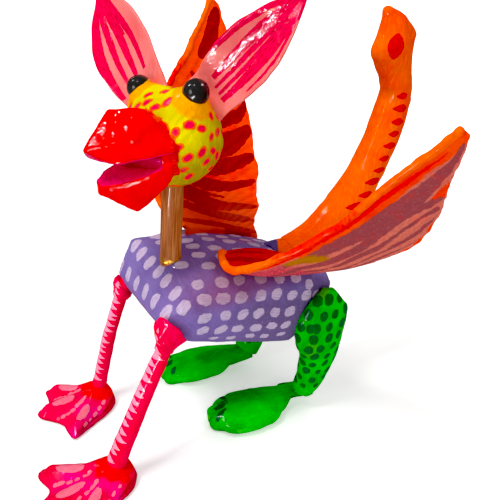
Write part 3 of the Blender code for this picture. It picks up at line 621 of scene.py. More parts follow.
def build_neck():
    low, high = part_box("neck_rod")
    bottom, top = low.z / MM, high.z / MM
    radius = (high.x - low.x) / MM / 2.0
    rows, around = 150, 72
    lumps = Lumps(8)
    z = np.linspace(bottom, top, rows)
    turn = np.linspace(0.0, 2.0 * math.pi, around, endpoint=False)
    grid_z, grid_t = np.meshgrid(z, turn, indexing="ij")
    flat = np.stack([np.cos(grid_t) * radius, np.sin(grid_t) * radius, grid_z], -1)
    grain = lumps(flat.reshape(-1, 3) * np.array([1.0, 1.0, 0.06]), 0.9).reshape(rows, around)
    uneven = 0.55 + 0.45 * np.sin(grid_t * 2.0 + 0.9) * np.sin(grid_t * 3.0 + 0.7)
    pool = 0.8 * np.exp(-((grid_z - 105.6) / 1.3) ** 2) * uneven
    r = radius - 0.12 + 0.05 * grain + np.maximum(pool, 0.0)
    flat[..., 0] = np.cos(grid_t) * r
    flat[..., 1] = np.sin(grid_t) * r
    shape = tube(flat)
    g = Graph("bronzed_dowel")
    grain = g.noise(0.5, 4.0, 0.65, (1.0, 1.0, 30.0), warp=0.4)
    broad = g.noise(2.2, 2.0, 0.5, (1.0, 1.0, 12.0))
    colour = g.mix(g.step(grain, 0.38, 0.66), srgb(156, 88, 46), srgb(206, 128, 74))
    # Painted highlight: long lighter streaks down the rod stand in for the varnish's vertical highlights.
    colour = g.mix(g.calc("MULTIPLY", g.step(broad, 0.5, 0.75), 0.6), colour, srgb(226, 166, 108))
    height = g.calc("SUBTRACT", g.field("pool"), g.calc("MULTIPLY", g.noise(1.4, 2.0), 1.2))
    gold = g.step(height, 0.0, 0.35)
    colour = g.mix(gold, colour, srgb(214, 150, 60))
    g.put(g.shader.inputs["Base Color"], colour)
    g.put(g.shader.inputs["Metallic"], g.calc("MULTIPLY", gold, 0.65))
    g.put(g.shader.inputs["Roughness"], g.calc("SUBTRACT", 0.42, g.calc("MULTIPLY", gold, 0.2)))
    g.shader.inputs["Specular IOR Level"].default_value = 0.08
    g.shader.inputs["Coat Weight"].default_value = 0.15
    g.put(g.shader.inputs["Normal"], g.bump(grain, 0.12, g.bump(g.noise(0.8, 2.0), 0.05)))
    shape.fields["pool"] = 1.3 - np.abs(shape.points[:, 2] - 106.2) * 0.60
    show("neck_dowel", shape, g.material, "figure", ["neck_rod"])


# ---------------------------------------------------------------- head

def head_form(ways, extra=0.0):
    """Radius of the head along unit directions in head axes."""
    radius = HEAD_RADIUS - 1.0 * np.maximum(0.0, ways[:, 2]) ** 2
    for place in EYES.values():
        peak = unit(place)
        radius = radius + 6.6 * np.exp(-((1.0 - ways @ peak) / 0.062))
    temple = unit((-0.82, -0.16, 0.55))
    radius = radius + 1.2 * np.exp(-((1.0 - ways @ temple) / 0.035))
    cheek = unit((0.75, -0.62, -0.15))
    radius = radius + 0.9 * np.exp(-((1.0 - ways @ cheek) / 0.12))
    return radius + extra


def build_head():
    bm = bmesh.new()
    bmesh.ops.create_icosphere(bm, subdivisions=7, radius=1.0)
    shape = from_bmesh(bm)
    ways = shape.points / np.linalg.norm(shape.points, axis=1, keepdims=True)
    lumps = Lumps(21)
    r = head_form(ways)
    r += 0.40 * lumps(ways * 20.0, 7.0) + 0.18 * lumps(ways * 20.0, 3.2)
    brow = np.exp(-((ways[:, 0] / 0.45) ** 2)) * smoothstep(0.3, 0.8, ways[:, 2]) * smoothstep(0.1, -0.5, ways[:, 1])
    r += 0.18 * brow * np.sin(ways[:, 0] * 34.0 + 2.0 * lumps(ways * 20.0, 6.0))
    under = unit(np.array(EYES["left"]) + np.array([2.0, -11.0, -9.0]))
    fold = np.exp(-((1.0 - ways @ under) / 0.05))
    r += 0.20 * fold * np.sin(ways[:, 0] * 46.0 - ways[:, 2] * 20.0)
    shape.points = from_head(ways * r[:, None])
    normals = shape.normals()
    rng = np.random.default_rng(4)
    dabs = []
    taken = []
    count = 190
    for k in range(count):
        z = 1.0 - 2.0 * (k + 0.5) / count
        turn = k * math.pi * (3.0 - math.sqrt(5.0))
        way = np.array([math.sqrt(1 - z * z) * math.cos(turn), math.sqrt(1 - z * z) * math.sin(turn), z])
        way = unit(way + rng.uniform(-0.10, 0.10, 3))
        place = way * HEAD_RADIUS
        if min(np.linalg.norm(place - np.array(e) * 0.92) for e in EYES.values()) < 9.8:
            continue
        if any(np.linalg.norm(place - other) < 4.4 for other in taken):
            continue
        taken.append(place)
        lean = rng.normal(size=3) * 0.8 + np.array([0.8, 1.5, 0.4])
        size = rng.uniform(0.75, 1.1)
        dabs.append(dab(shape.points, normals, from_head([place])[0], lean, 2.15 * size, 1.5 * size))
    paint_dabs(shape, dabs, "spots", 9, 2.2)
    local = to_head(shape.points)
    ring = np.full(len(local), 9.0)
    for side, place in EYES.items():
        gap = np.linalg.norm(local - np.array(place), axis=1)
        low = smoothstep(6.0, -8.0, local[:, 2] - place[2])
        ring = np.minimum(ring, gap - 8.0 - 3.2 * low)
    shape.fields["ring"] = ring
    shape.fields["muzzle"] = local[:, 1] + 14.6 + 0.5 * lumps(ways * 20.0, 5.0)
    # Painted shade: the yellow darkens to olive on the side of the head turned away from the key light, which comes
    # from above and in front.
    shape.fields["tone_and_shade"] = 0.42 - 0.75 * (ways @ unit((-0.25, -0.55, 0.8)))
    layers = [
        {"field": "ring", "colour": srgb(250, 172, 0), "second": srgb(238, 150, 0), "wobble": 1.8, "soft": 0.8},
        {"field": "spots", "colour": srgb(255, 112, 20), "second": srgb(255, 84, 20), "edge": 0.30, "wobble": 0.8},
        {"field": "spots", "colour": srgb(246, 44, 92), "second": srgb(238, 26, 66), "edge": -0.30, "wobble": 0.8,
         "lanes": True},
        {"field": "muzzle", "colour": srgb(240, 10, 0), "second": srgb(214, 30, 0), "wobble": 1.6, "soft": 0.3},
    ]
    paint = painted("yellow_spotted", srgb(228, 212, 0), srgb(200, 186, 0), srgb(244, 230, 14), layers,
                    rough=0.3, coat=0.4, tone_and_shade=srgb(168, 148, 0))
    show("head_skin", shape, paint, "head", ["head"])

    eye = Graph("black_gloss")
    glint = eye.step(eye.calc("ADD", eye.field("glint"), eye.calc("MULTIPLY", eye.noise(0.9), 0.6)), 0.2, 0.5)
    black = eye.mix(glint, srgb(200, 200, 198), srgb(50, 50, 49))
    edge = eye.calc("ADD", eye.field("lid"), eye.calc("MULTIPLY", eye.calc("SUBTRACT", eye.noise(1.5), 0.5), 0.7))
    lid = eye.step(edge, -0.12, 0.12)
    amber = eye.mix(eye.noise(1.2, 3.0), srgb(238, 146, 0), srgb(252, 180, 4))
    eye.put(eye.shader.inputs["Base Color"], eye.mix(lid, black, amber))
    eye.shader.inputs["Specular IOR Level"].default_value = 0.25
    eye.shader.inputs["Roughness"].default_value = 0.2
    eye.shader.inputs["Coat Weight"].default_value = 0.6
    eye.shader.inputs["Coat Roughness"].default_value = 0.05
    eye.put(eye.shader.inputs["Coat Normal"], eye.bump(eye.noise(1.3, 3.0, 0.6), 0.16, eye.bump(eye.noise(3.0), 0.2)))
    for side, place in EYES.items():
        bm = bmesh.new()
        bmesh.ops.create_icosphere(bm, subdivisions=6, radius=1.0)
        ball = from_bmesh(bm)
        world_ways = ball.points @ HEAD_AXES.T
        lid = 0.02 if side == "right" else -0.35
        ball.fields["lid"] = (lid - world_ways @ unit(GAZES[side])) * EYE_RADIUS
        mark = world_ways @ unit((0.66, 0.12, 0.74))
        ball.fields["glint"] = np.where(side == "left", (1.0 - mark) * 26.0, 2.0)
        ridge = 0.25 * smoothstep(-0.4, 0.4, ball.fields["lid"])
        radius = EYE_RADIUS * (1.0 + 0.012 * lumps(ball.points * EYE_RADIUS, 3.0)) + ridge
        ball.points = from_head(ball.points * radius[:, None] + np.array(place) - np.array([0.0, 0.0, 0.4]))
        show("eye_dome_" + side, ball, eye.material, "head", ["eye_" + side])


# Folds that join the lips at the mouth corners, in head axes.
CORNER_LEFT = (
    (14.6, -14.2, 4.5), (15.8, -14.0, -3.0), (15.0, -14.2, -11.0), (12.6, -21.0, -0.4), (13.4, -21.0, -7.0),
    (8.0, -14.5, 3.0), (8.0, -14.5, -12.0),
)
CORNER_RIGHT = (
    (-15.2, -14.2, 3.5), (-15.8, -14.0, -3.0), (-14.6, -14.2, -10.0), (-14.6, -21.0, -0.8), (-14.2, -21.0, -6.5),
    (-8.0, -14.5, 2.5), (-8.0, -14.5, -11.0),
)


def joined(*shapes):
    points, faces, shift = [], [], 0
    for shape in shapes:
        points.append(shape.points)
        faces += [[i + shift for i in face] for face in shape.faces]
        shift += len(shape.points)
    return Shape(np.concatenate(points), faces)


def build_mouth():
    lumps = Lumps(31)
    red = painted("red_lips", srgb(250, 4, 0), srgb(226, 0, 0), srgb(255, 26, 4),
                  [{"field": "inside", "colour": srgb(236, 0, 96), "second": srgb(255, 60, 140), "wobble": 1.2,
                    "soft": 0.5},
                   {"field": "fold", "colour": srgb(222, 24, 0), "second": srgb(255, 74, 10), "wobble": 2.0,
                    "soft": 0.8, "cover": 0.7}],
                  rough=0.22, coat=0.8, streak=(4.0, 1.0, 1.0), speckle=0.14)
    for name in ("upper_lip", "lower_lip"):
        parts = [hull(node_points(name))]
        if name == "lower_lip":
            parts += [hull(from_head(CORNER_LEFT)), hull(from_head(CORNER_RIGHT))]
        shape = remesh(joined(*parts), 0.55, 9)
        local = to_head(shape.points)
        normals = shape.normals() @ HEAD_AXES
        fold = smoothstep(9.0, 15.0, np.abs(local[:, 0])) * smoothstep(-20.5, -16.0, local[:, 1])
        fold = fold * smoothstep(-16.0, -9.0, local[:, 2]) * smoothstep(7.0, 2.0, local[:, 2])
        crease = np.sin(local[:, 1] * 2.4 + local[:, 2] * 0.7 + 2.0 * lumps(shape.points, 5.0)) * fold * 0.28
        shape.swell(0.25 + 0.45 * lumps(shape.points, 6.0) + 0.20 * lumps(shape.points, 2.6) + crease)
        shape.fields["fold"] = 2.0 - 3.6 * fold
        if name == "lower_lip":
            inner = smoothstep(0.35, 0.8, normals[:, 2]) * smoothstep(12.5, 9.0, np.abs(local[:, 0] + 1.0))
            shape.fields["inside"] = 1.2 - 3.0 * smoothstep(0.35, 0.75, normals[:, 2])
            shape.points = shape.points - np.outer(1.4 * inner, HEAD_AXES[:, 2])
        else:
            shape.fields["inside"] = 1.2 - 3.0 * smoothstep(0.35, 0.75, -normals[:, 2])
        show(name + "_red", shape, red, "head", [name])
    lining = joined(hull(node_points("mouth_lining")), hull(from_head((
        (13.0, -17.0, -1.0), (-13.0, -17.0, -1.0), (12.0, -21.0, -3.2), (-13.0, -22.5, -3.2), (12.0, -19.0, -9.0),
        (-12.5, -20.0, -9.5), (11.0, -14.0, -12.0), (-11.0, -14.0, -12.0)))))
    shape = remesh(lining, 0.5, 4)
    shape.swell(0.3 + 0.3 * lumps(shape.points, 3.0))
    crimson = painted("mouth_crimson", srgb(214, 0, 92), srgb(160, 0, 60), srgb(244, 30, 130), rough=0.35, coat=0.4)
    show("mouth_inside", shape, crimson, "head", ["mouth_lining"])


# Ear leaves in head axes: base, tip, half width at the root, half width of the belly, how late it swells.
EARS = {"left": ((12.7, 7.0, 14.6), (56.7, 15.0, 52.7), 8.5, 6.9, 1.16),
        "right": ((-16.1, 4.0, 14.8), (-48.9, 13.0, 58.6), 9.2, 10.5, 1.0)}
EAR_FACING = (0.62, -0.72, 0.0)
# Strokes on an ear: place across from -1 to 1, where it starts and ends along, half breadth.
EAR_STROKES = {
    "left": ((-0.95, 0.30, 1.0, 1.3), (-0.36, 0.17, 1.0, 1.9), (-0.04, 0.13, 0.90, 1.0), (0.22, 0.12, 0.93, 1.0),
             (0.50, 0.11, 1.0, 1.9), (0.86, 0.30, 0.95, 0.5)),
    "right": ((-0.86, 0.10, 1.0, 2.0), (-0.46, 0.16, 1.0, 1.4), (-0.08, 0.18, 1.0, 1.9), (0.34, 0.20, 0.95, 1.8),
              (0.10, 0.55, 1.0, 1.2)),
}


def build_ears():
    salmon = srgb(255, 134, 130)
    for side, (base, tip, root, belly, late) in EARS.items():
        start, end = from_head([base])[0], from_head([tip])[0]
        along = end - start
        reach = np.linalg.norm(along)
        facing = np.array(EAR_FACING)
        facing = unit(facing - unit(along) * (unit(along) @ facing))
        across = np.cross(unit(along), facing)
        u = np.linspace(-0.06, 1.0, 150)[:, None]
        v = np.linspace(0.0, 1.0, 71)[None, :]
        low = np.clip(u, 0.0, 1.0)
        swell = np.sin(math.pi * low ** late)
        half = root * (1.0 - low) ** 1.5 + belly * swell + 1.45 * (1.0 - low ** 10)
        s = 2.0 * v - 1.0
        cup = 0.42 * half * (s * s - 0.5) * swell + 1.5 * np.sin(math.pi * low)
        lumps = Lumps(41 if side == "left" else 42)
        middle = start + along * u[..., None] + across * (half * s)[..., None] + facing * cup[..., None]
        wave = lumps(middle.reshape(-1, 3), 9.0).reshape(half.shape[0], -1) * 0.6
        middle = middle + facing * wave[..., None]
        edge = 0.5 * lumps(middle.reshape(-1, 3), 6.0).reshape(half.shape[0], -1) * np.sign(s) * np.abs(s) ** 4
        middle = middle + across * edge[..., None]
        thick = 2.3 * (1.0 - 0.55 * np.abs(s) ** 6) * (1.0 - 0.55 * low ** 6)
        shape = panel(middle, thick)
        uu = shape.fields["u"] * 1.06 - 0.06
        ss = shape.fields["v"] * 2.0 - 1.0
        facing_out = shape.normals() @ facing
        width = np.interp(uu, u[:, 0], half[:, 0])
        dist = np.full(len(uu), 6.0)
        for lane, first, last, breadth in EAR_STROKES[side]:
            t = np.clip((uu - first) / (last - first), 0.0, 1.0)
            body = breadth * (0.40 + 0.75 * np.sin(math.pi * np.clip(0.06 + 0.74 * t, 0, 1)) ** 0.9)
            side_gap = np.abs(ss - lane) * width - body
            end_gap = np.maximum(first - uu, uu - last) * reach
            both = np.maximum(side_gap, end_gap)
            corner = np.hypot(np.maximum(side_gap, 0.0), np.maximum(end_gap, 0.0))
            dist = np.minimum(dist, np.where(both > 0.0, corner, both))
        tip_field = (0.86 - uu) * reach * 0.5
        shape.fields["strokes"] = np.minimum(dist, tip_field)
        shape.fields["strokes_a"] = uu * reach
        shape.fields["strokes_b"] = ss * width
        shape.fields["strokes_r"] = np.zeros(len(uu))
        rim = np.where((uu > 0.30) & (facing_out < 0.45), -0.5, 2.0)
        shape.fields["rim"] = np.where(facing_out < -0.5, 2.0, rim)
        layers = [{"field": "strokes", "colour": srgb(252, 14, 92), "second": srgb(204, 0, 38), "lanes": True,
                   "wobble": 0.7, "dry": 0.15},
                  {"field": "rim", "colour": srgb(205, 0, 40), "second": srgb(232, 20, 60), "wobble": 1.2, "soft": 0.5}]
        paint = painted("ear_strokes_" + side, salmon, srgb(250, 112, 110), srgb(255, 152, 148), layers,
                        rough=0.25, coat=1.0, speckle=0.19)
        show("ear_leaf_" + side, shape, paint, "head", ["ear_" + side])


# ---------------------------------------------------------------- wings

LEFT_LEADING = (
    (11.0, 21.0, 108.8), (19.0, 17.5, 109.3), (27.0, 17.5, 109.8), (30.5, 25.0, 111.5), (35.5, 33.0, 116.8),
    (43.0, 40.9, 125.2), (50.5, 45.5, 134.6), (58.0, 49.6, 144.5), (70.0, 52.4, 161.6), (79.0, 56.3, 174.7),
    (86.0, 60.6, 184.6), (93.0, 60.0, 193.5),
)
LEFT_TRAILING = (
    (20.0, 60.0, 100.5), (22.0, 66.0, 99.5), (26.0, 69.0, 100.5), (31.0, 71.0, 103.5), (36.0, 76.5, 107.0),
    (42.0, 82.2, 110.1), (54.0, 88.9, 121.5), (62.0, 90.0, 131.5), (72.0, 85.4, 148.2), (78.0, 79.5, 159.3),
    (84.0, 73.0, 170.0), (94.5, 64.0, 190.5),
)
RIGHT_LEADING = (
    (-18.0, 13.6, 110.6), (-22.9, 9.8, 115.3), (-30.2, 4.7, 123.0), (-40.0, 6.5, 135.0), (-50.0, 11.0, 146.0),
    (-60.0, 17.5, 157.0), (-70.8, 27.9, 169.2), (-79.1, 40.0, 180.3), (-83.6, 45.2, 187.5), (-89.3, 53.2, 196.7),
    (-94.6, 59.0, 205.7),
)
RIGHT_TRAILING = (
    (-21.0, 59.0, 96.8), (-26.6, 59.5, 102.1), (-32.7, 64.4, 105.7), (-37.4, 65.5, 110.2), (-42.1, 68.7, 114.0),
    (-49.1, 72.5, 121.3), (-55.2, 72.0, 129.9), (-61.9, 73.8, 139.2), (-70.6, 72.5, 154.1), (-88.4, 66.4, 190.7),
    (-93.8, 63.2, 201.8),
)
WINGS = {"left": (LEFT_LEADING, LEFT_TRAILING, 4.0), "right": (RIGHT_LEADING, RIGHT_TRAILING, 3.0)}
RIM_RADIUS = 1.7
WING_REACH = 115.0
WING_SKIRT = 0.07

# Wing brush strokes: spine through (share of span, share of chord) and half breadth in millimetres.
ZEBRA = (
    (((0.07, 0.04), (0.045, 0.35), (0.02, 0.70), (0.02, 1.0)), 3.4),
    (((0.19, 0.05), (0.155, 0.35), (0.11, 0.65), (0.10, 0.97)), 4.0),
    (((0.26, 0.05), (0.225, 0.35), (0.19, 0.66), (0.215, 0.96)), 4.2),
    (((0.31, 0.05), (0.27, 0.28), (0.255, 0.45), (0.25, 0.66)), 1.3),
    (((0.34, 0.06), (0.305, 0.40), (0.325, 0.70), (0.43, 0.97)), 4.0),
    (((0.42, 0.06), (0.385, 0.45), (0.45, 0.70), (0.57, 0.97)), 4.2),
    (((0.50, 0.08), (0.48, 0.48), (0.57, 0.73), (0.70, 0.95)), 5.2),
    (((0.57, 0.08), (0.58, 0.45), (0.66, 0.68), (0.80, 0.97)), 3.3),
    (((0.66, 0.10), (0.66, 0.32), (0.72, 0.50), (0.79, 0.66)), 1.8),
    (((0.74, 0.10), (0.82, 0.20), (0.90, 0.38), (0.95, 0.62)), 4.2),
)
FAN = (
    (((0.36, 0.14), (0.62, 0.20), (0.79, 0.42), (0.97, 0.72)), 4.6),
    (((0.22, 0.27), (0.50, 0.33), (0.70, 0.42), (0.83, 0.92)), 2.6),
    (((0.15, 0.40), (0.45, 0.46), (0.66, 0.54), (0.77, 0.90)), 1.7),
    (((0.12, 0.53), (0.40, 0.58), (0.60, 0.66), (0.72, 0.92)), 1.5),
    (((0.10, 0.66), (0.36, 0.70), (0.54, 0.78), (0.65, 0.94)), 1.5),
    (((0.06, 0.80), (0.28, 0.82), (0.44, 0.88), (0.55, 0.96)), 1.3),
)
FAN_ORANGE = (
    (((0.80, 0.66), (0.83, 0.78), (0.86, 0.88), (0.90, 0.98)), 2.6),
    (((0.50, 1.0), (0.58, 0.985), (0.66, 0.985), (0.73, 1.0)), 1.6),
)
FAN_OCHRE = ((((0.37, 0.10), (0.41, 0.14), (0.44, 0.18), (0.47, 0.26)), 2.8),)
RIM_RED = (
    (((0.50, 0.03), (0.66, 0.04), (0.80, 0.10), (0.93, 0.20)), 1.3),
    (((0.30, 0.03), (0.38, 0.03), (0.44, 0.04), (0.50, 0.04)), 0.8),
)
ROOT_RED = (
    (((0.03, 0.04), (0.028, 0.16), (0.03, 0.30), (0.03, 0.46)), 1.4),
    (((0.085, 0.0), (0.08, 0.12), (0.085, 0.26), (0.085, 0.42)), 2.0),
    (((0.15, 0.0), (0.15, 0.08), (0.155, 0.16), (0.17, 0.24)), 1.0),
)


def stroke_field(strokes, u, v, span):
    """Signed distance in millimetres to the nearest brush stroke on a wing."""
    best = np.full(len(u), 6.0)
    for spine, breadth in strokes:
        for t in np.linspace(0.0, 1.0, 60):
            here = curve([(a, b, 0.0) for a, b in spine], t)[0]
            size = breadth * (0.12 + 0.88 * math.sin(math.pi * (0.03 + 0.94 * t)) ** 0.7)
            gap = np.hypot((u - here[0]) * WING_REACH, (v - here[1]) * np.maximum(span, 5.0)) - size
            best = np.minimum(best, gap)
    return best


def build_wings():
    for side, (leading, trailing, belly) in WINGS.items():
        near = side == "left"
        lumps = Lumps(51 if near else 52)
        rows, columns = 230, 170
        raw = np.linspace(-WING_SKIRT, 1.0, rows)
        u = np.clip(raw, 0.0, 1.0)
        v = np.linspace(0.0, 1.0, columns)
        front, back = curve(leading, u), curve(trailing, u)
        chord = back - front
        length = np.linalg.norm(chord, axis=1)
        start = front + chord / length[:, None] * (RIM_RADIUS - 0.6)
        cup = belly * np.outer(np.sin(math.pi * np.minimum(1.0, u * 1.15)) ** 0.7, np.sin(math.pi * v))
        outward = unit((math.copysign(1.0, front[-1, 0]), 0.0, -0.9))
        middle = start[:, None, :] + (back - start)[:, None, :] * v[None, :, None] + cup[..., None] * outward
        depth = v[None, :] * length[:, None]
        angle = np.degrees(np.arctan2(depth, u[:, None] * WING_REACH + 14.0))
        flutes = (0.30 if near else 0.16) * np.sin(2.0 * math.pi * angle / 3.4)
        flutes = flutes * smoothstep(28.0, 48.0, np.hypot(depth, u[:, None] * WING_REACH + 14.0)) * smoothstep(2.0, 7.0, depth) * (smoothstep(3.0, 20.0, length) * smoothstep(0.0, 0.03, raw))[:, None]
        wave = 0.8 * lumps(middle.reshape(-1, 3), 16.0).reshape(rows, columns)
        normal = np.cross(np.gradient(middle, axis=0), np.gradient(middle, axis=1))
        normal /= np.linalg.norm(normal, axis=2, keepdims=True) + 1e-12
        middle = middle + normal * (flutes + wave)[..., None]
        ragged = 0.9 * lumps(back, 5.0) + 0.4 * lumps(back, 2.4)
        middle = middle + (chord / length[:, None] * ragged[:, None])[:, None, :] * (v ** 6)[None, :, None]
        root = np.exp(-(u / 0.13) ** 2)
        rise = (4.6 if near else 1.0) * np.outer(root, np.sin(math.pi * v) ** 0.7)
        sink = np.minimum(raw, 0.0) * WING_REACH * smoothstep(0.0, 0.05, v)[None, :].T
        middle[..., 2] += rise + sink.T
        if near:
            middle[..., 2] += 1.2 * np.exp(-(u / 0.45) ** 2)[:, None]
        shape = panel(middle, 1.7)
        uu, vv = np.clip(shape.fields["u"] * (1.0 + WING_SKIRT) - WING_SKIRT, 0.0, 1.0), shape.fields["v"]
        span = np.interp(uu, u, length)
        upper = shape.fields["side"] > 0 if near else shape.fields["side"] < 0
        width = vv * span
        dark = np.minimum(stroke_field(ZEBRA, uu, vv, span), 6.0)
        if near:
            dark = np.where(uu < 0.32, stroke_field(ROOT_RED, uu, vv, span), dark)
        shape.fields["bands"] = np.where(upper, dark, 6.0)
        shape.fields["fan"] = np.where(upper, 6.0, stroke_field(FAN, uu, vv, span))
        shape.fields["warm"] = np.where(upper, 6.0, stroke_field(FAN_ORANGE, uu, vv, span))
        shape.fields["ochre"] = np.where(upper, 6.0, stroke_field(FAN_OCHRE, uu, vv, span))
        shape.fields["under"] = np.where(upper, 6.0, 1.8 + 4.6 * smoothstep(0.3, 0.6, uu) - width)
        shape.fields["blush_and_reflection"] = np.where(upper, 6.0, np.maximum(2.4 - width, (uu - 0.36) * 40.0))
        shape.fields["streaks"] = np.where(upper, 6.0, stroke_field(RIM_RED, uu, vv, span))
        shape.fields["hem"] = (1.0 - vv) * span - 2.2
        shape.fields["root"] = np.where(upper & near, (uu - 0.25) * WING_REACH, 6.0)
        # Painted shade: the root end of the far wing's upper face is dulled to rose-brown, where it lies in shade
        # behind the head.
        shape.fields["root_shade"] = np.where(upper & (not near), (uu - 0.24) * WING_REACH, 9.0)
        shape.fields["tone_and_shade"] = np.where(upper, 0.75 - 1.6 * np.abs(vv - 0.35) - 0.7 * np.abs(uu - 0.45), -1.0)
        along = (1.2, 1.2, 5.0)
        layers = [
            {"field": "hem", "colour": srgb(255, 92, 0), "second": srgb(255, 60, 0), "wobble": 3.0, "grain": 4.0,
             "soft": 0.7},
            {"field": "root", "colour": srgb(214, 46, 8), "second": srgb(188, 34, 10), "wobble": 3.0, "soft": 3.0},
            {"field": "under", "colour": srgb(230, 124, 106), "second": srgb(204, 108, 96), "wobble": 4.0, "grain": 6.0,
             "soft": 0.8, "streak": along},
            {"field": "blush_and_reflection", "colour": srgb(226, 88, 96), "second": srgb(190, 62, 88), "wobble": 4.0, "soft": 2.0,
             "streak": along},
            {"field": "fan", "colour": srgb(164, 76, 82), "second": srgb(148, 84, 92), "wobble": 2.0, "grain": 3.0,
             "soft": 0.3, "dry": 0.5},
            {"field": "ochre", "colour": srgb(192, 130, 16), "second": srgb(176, 112, 24), "wobble": 2.5, "soft": 1.2},
            {"field": "warm", "colour": srgb(255, 78, 0), "second": srgb(250, 50, 0), "wobble": 2.0, "soft": 0.3},
            {"field": "streaks", "colour": srgb(255, 36, 0), "second": srgb(240, 24, 0), "wobble": 1.5, "soft": 0.5},
            {"field": "bands", "colour": srgb(174, 12, 10), "second": srgb(158, 28, 28), "wobble": 1.6, "grain": 3.0},
            {"field": "root_shade", "colour": srgb(196, 92, 84), "wobble": 3.0, "soft": 14.0, "cover": 0.45, "lift": 0.0},
        ]
        paint = painted("wing_paint_" + side, srgb(255, 86, 0), srgb(248, 50, 0), srgb(255, 110, 6), layers,
                        rough=0.38, coat=0.25, streak=(1.0, 4.0, 1.0), tone_and_shade=srgb(238, 26, 0))
        show("wing_panel_" + side, shape, paint, "figure", ["wing_" + side])

        steps, around = 170, 20
        t = np.linspace(0.0, 1.0, steps)
        path = curve(leading, t)
        if near:
            path[:, 2] += 1.2 * np.exp(-(t / 0.45) ** 2)
        way = np.gradient(path, axis=0)
        way /= np.linalg.norm(way, axis=1, keepdims=True)
        one = np.cross(way, np.array([0.0, 0.0, 1.0]) + 0.0 * way)
        one /= np.linalg.norm(one, axis=1, keepdims=True)
        two = np.cross(way, one)
        turn = np.linspace(0.0, 2.0 * math.pi, around, endpoint=False)
        radius = RIM_RADIUS * (1.10 - 0.25 * t)
        ring = (path[:, None, :] + radius[:, None, None] * (np.cos(turn)[None, :, None] * one[:, None, :]
                                                           + np.sin(turn)[None, :, None] * two[:, None, :]))
        ring = ring + 0.30 * lumps(ring.reshape(-1, 3), 3.0).reshape(steps, around, 1) * (ring - path[:, None, :])
        rim = tube(ring)
        rim.fields["hem"] = np.concatenate([np.repeat(2.2 * np.sin(t * 9.0) + 0.6, around), [3.0, 3.0]])
        rim_layers = [{"field": "hem", "colour": srgb(255, 52, 0), "second": srgb(244, 30, 0), "wobble": 2.5, "soft": 1.0}]
        rim_paint = painted("wing_rim_" + side, srgb(255, 104, 0), srgb(255, 76, 0), srgb(255, 140, 10), rim_layers,
                            rough=0.3, coat=0.4, streak=(3.0, 3.0, 3.0))
        show("wing_edge_" + side, rim, rim_paint, "figure", ["wing_rim_" + side])


# ---------------------------------------------------------------- tail

# Knuckles of the tail end: place, reach and height.
TAIL_KNUCKLES = (((0.0, 120.0, 206.0), 3.6, 1.7), ((0.0, 98.3, 195.5), 3.8, 1.2), ((0.0, 101.5, 215.5), 2.6, 0.9),
                 ((2.0, 124.0, 173.0), 2.2, 0.9), ((0.0, 105.5, 184.5), 3.0, -0.8))


def build_tail():
    shape = remesh(node_shape("tail"), 0.6, 2)
    lumps = Lumps(61)
    knuckles = np.zeros(len(shape.points))
    for place, reach, height in TAIL_KNUCKLES:
        gap = np.linalg.norm((shape.points - np.array(place)) * np.array([0.55, 1.0, 1.0]), axis=1)
        knuckles += height * np.exp(-(gap / reach) ** 2)
    shape.swell(0.40 + 0.5 * lumps(shape.points, 9.0) + 0.22 * lumps(shape.points, 3.5) + knuckles)
    points, normals = shape.points, shape.normals()
    rng = np.random.default_rng(6)
    dabs = []
    for k in range(10):
        z = 177.4 - 6.2 * k
        band = points[np.abs(points[:, 2] - z) < 1.2]
        y = 114.6 - 0.13 * k ** 2 - 0.0022 * max(0, k - 2) ** 4
        for sign in (1.0, -1.0):
            size = rng.uniform(0.95, 1.2) * (1.25 if k == 1 else 1.0)
            late = max(0, k - 3)
            dabs.append(dab(points, normals, (sign * band[:, 0].max(), y - 0.22 * late, z), (-sign * 0.2, 1.0, 0.05),
                            (2.9 + 0.38 * late) * size, (1.5 + 0.06 * late) * size, (sign, -0.1, 0.0), taper=-0.45))
    for sign in (1.0, -1.0):
        dabs.append(dab(points, normals, (sign * 12.0, 104.4, 201.0), (0.0, 0.05, 1.0), 5.8, 4.2, (sign, -0.5, 0.0)))
    paint_dabs(shape, dabs, "marks", 13, 1.5)
    # Random tone, plus painted shade: faces turned back (+Y), away from the lights, go a deeper red-orange.
    shape.fields["tone_and_shade"] = 0.7 * lumps(points, 14.0) + 0.5 * normals[:, 1] + 0.1
    layers = [{"field": "marks", "colour": srgb(236, 10, 0), "second": srgb(214, 0, 0), "wobble": 0.7, "lanes": True}]
    paint = painted("tail_orange", srgb(255, 106, 0), srgb(255, 82, 0), srgb(255, 150, 6), layers, rough=0.28,
                    coat=0.5, streak=(1.0, 1.0, 5.0), tone_and_shade=srgb(255, 66, 0))
    show("tail_limb", shape, paint, "tail", ["tail"])


# ---------------------------------------------------------------- front legs and feet

# Front feet: ankle, tips of the three toes, all on the ground plane.
FRONT_FEET = {"left": ((24.8, -37.0), ((46.0, -59.5), (30.5, -72.0), (10.0, -67.0))),
              "right": ((-30.4, -28.5), ((-9.5, -47.5), (-30.5, -59.0), (-45.0, -51.5)))}


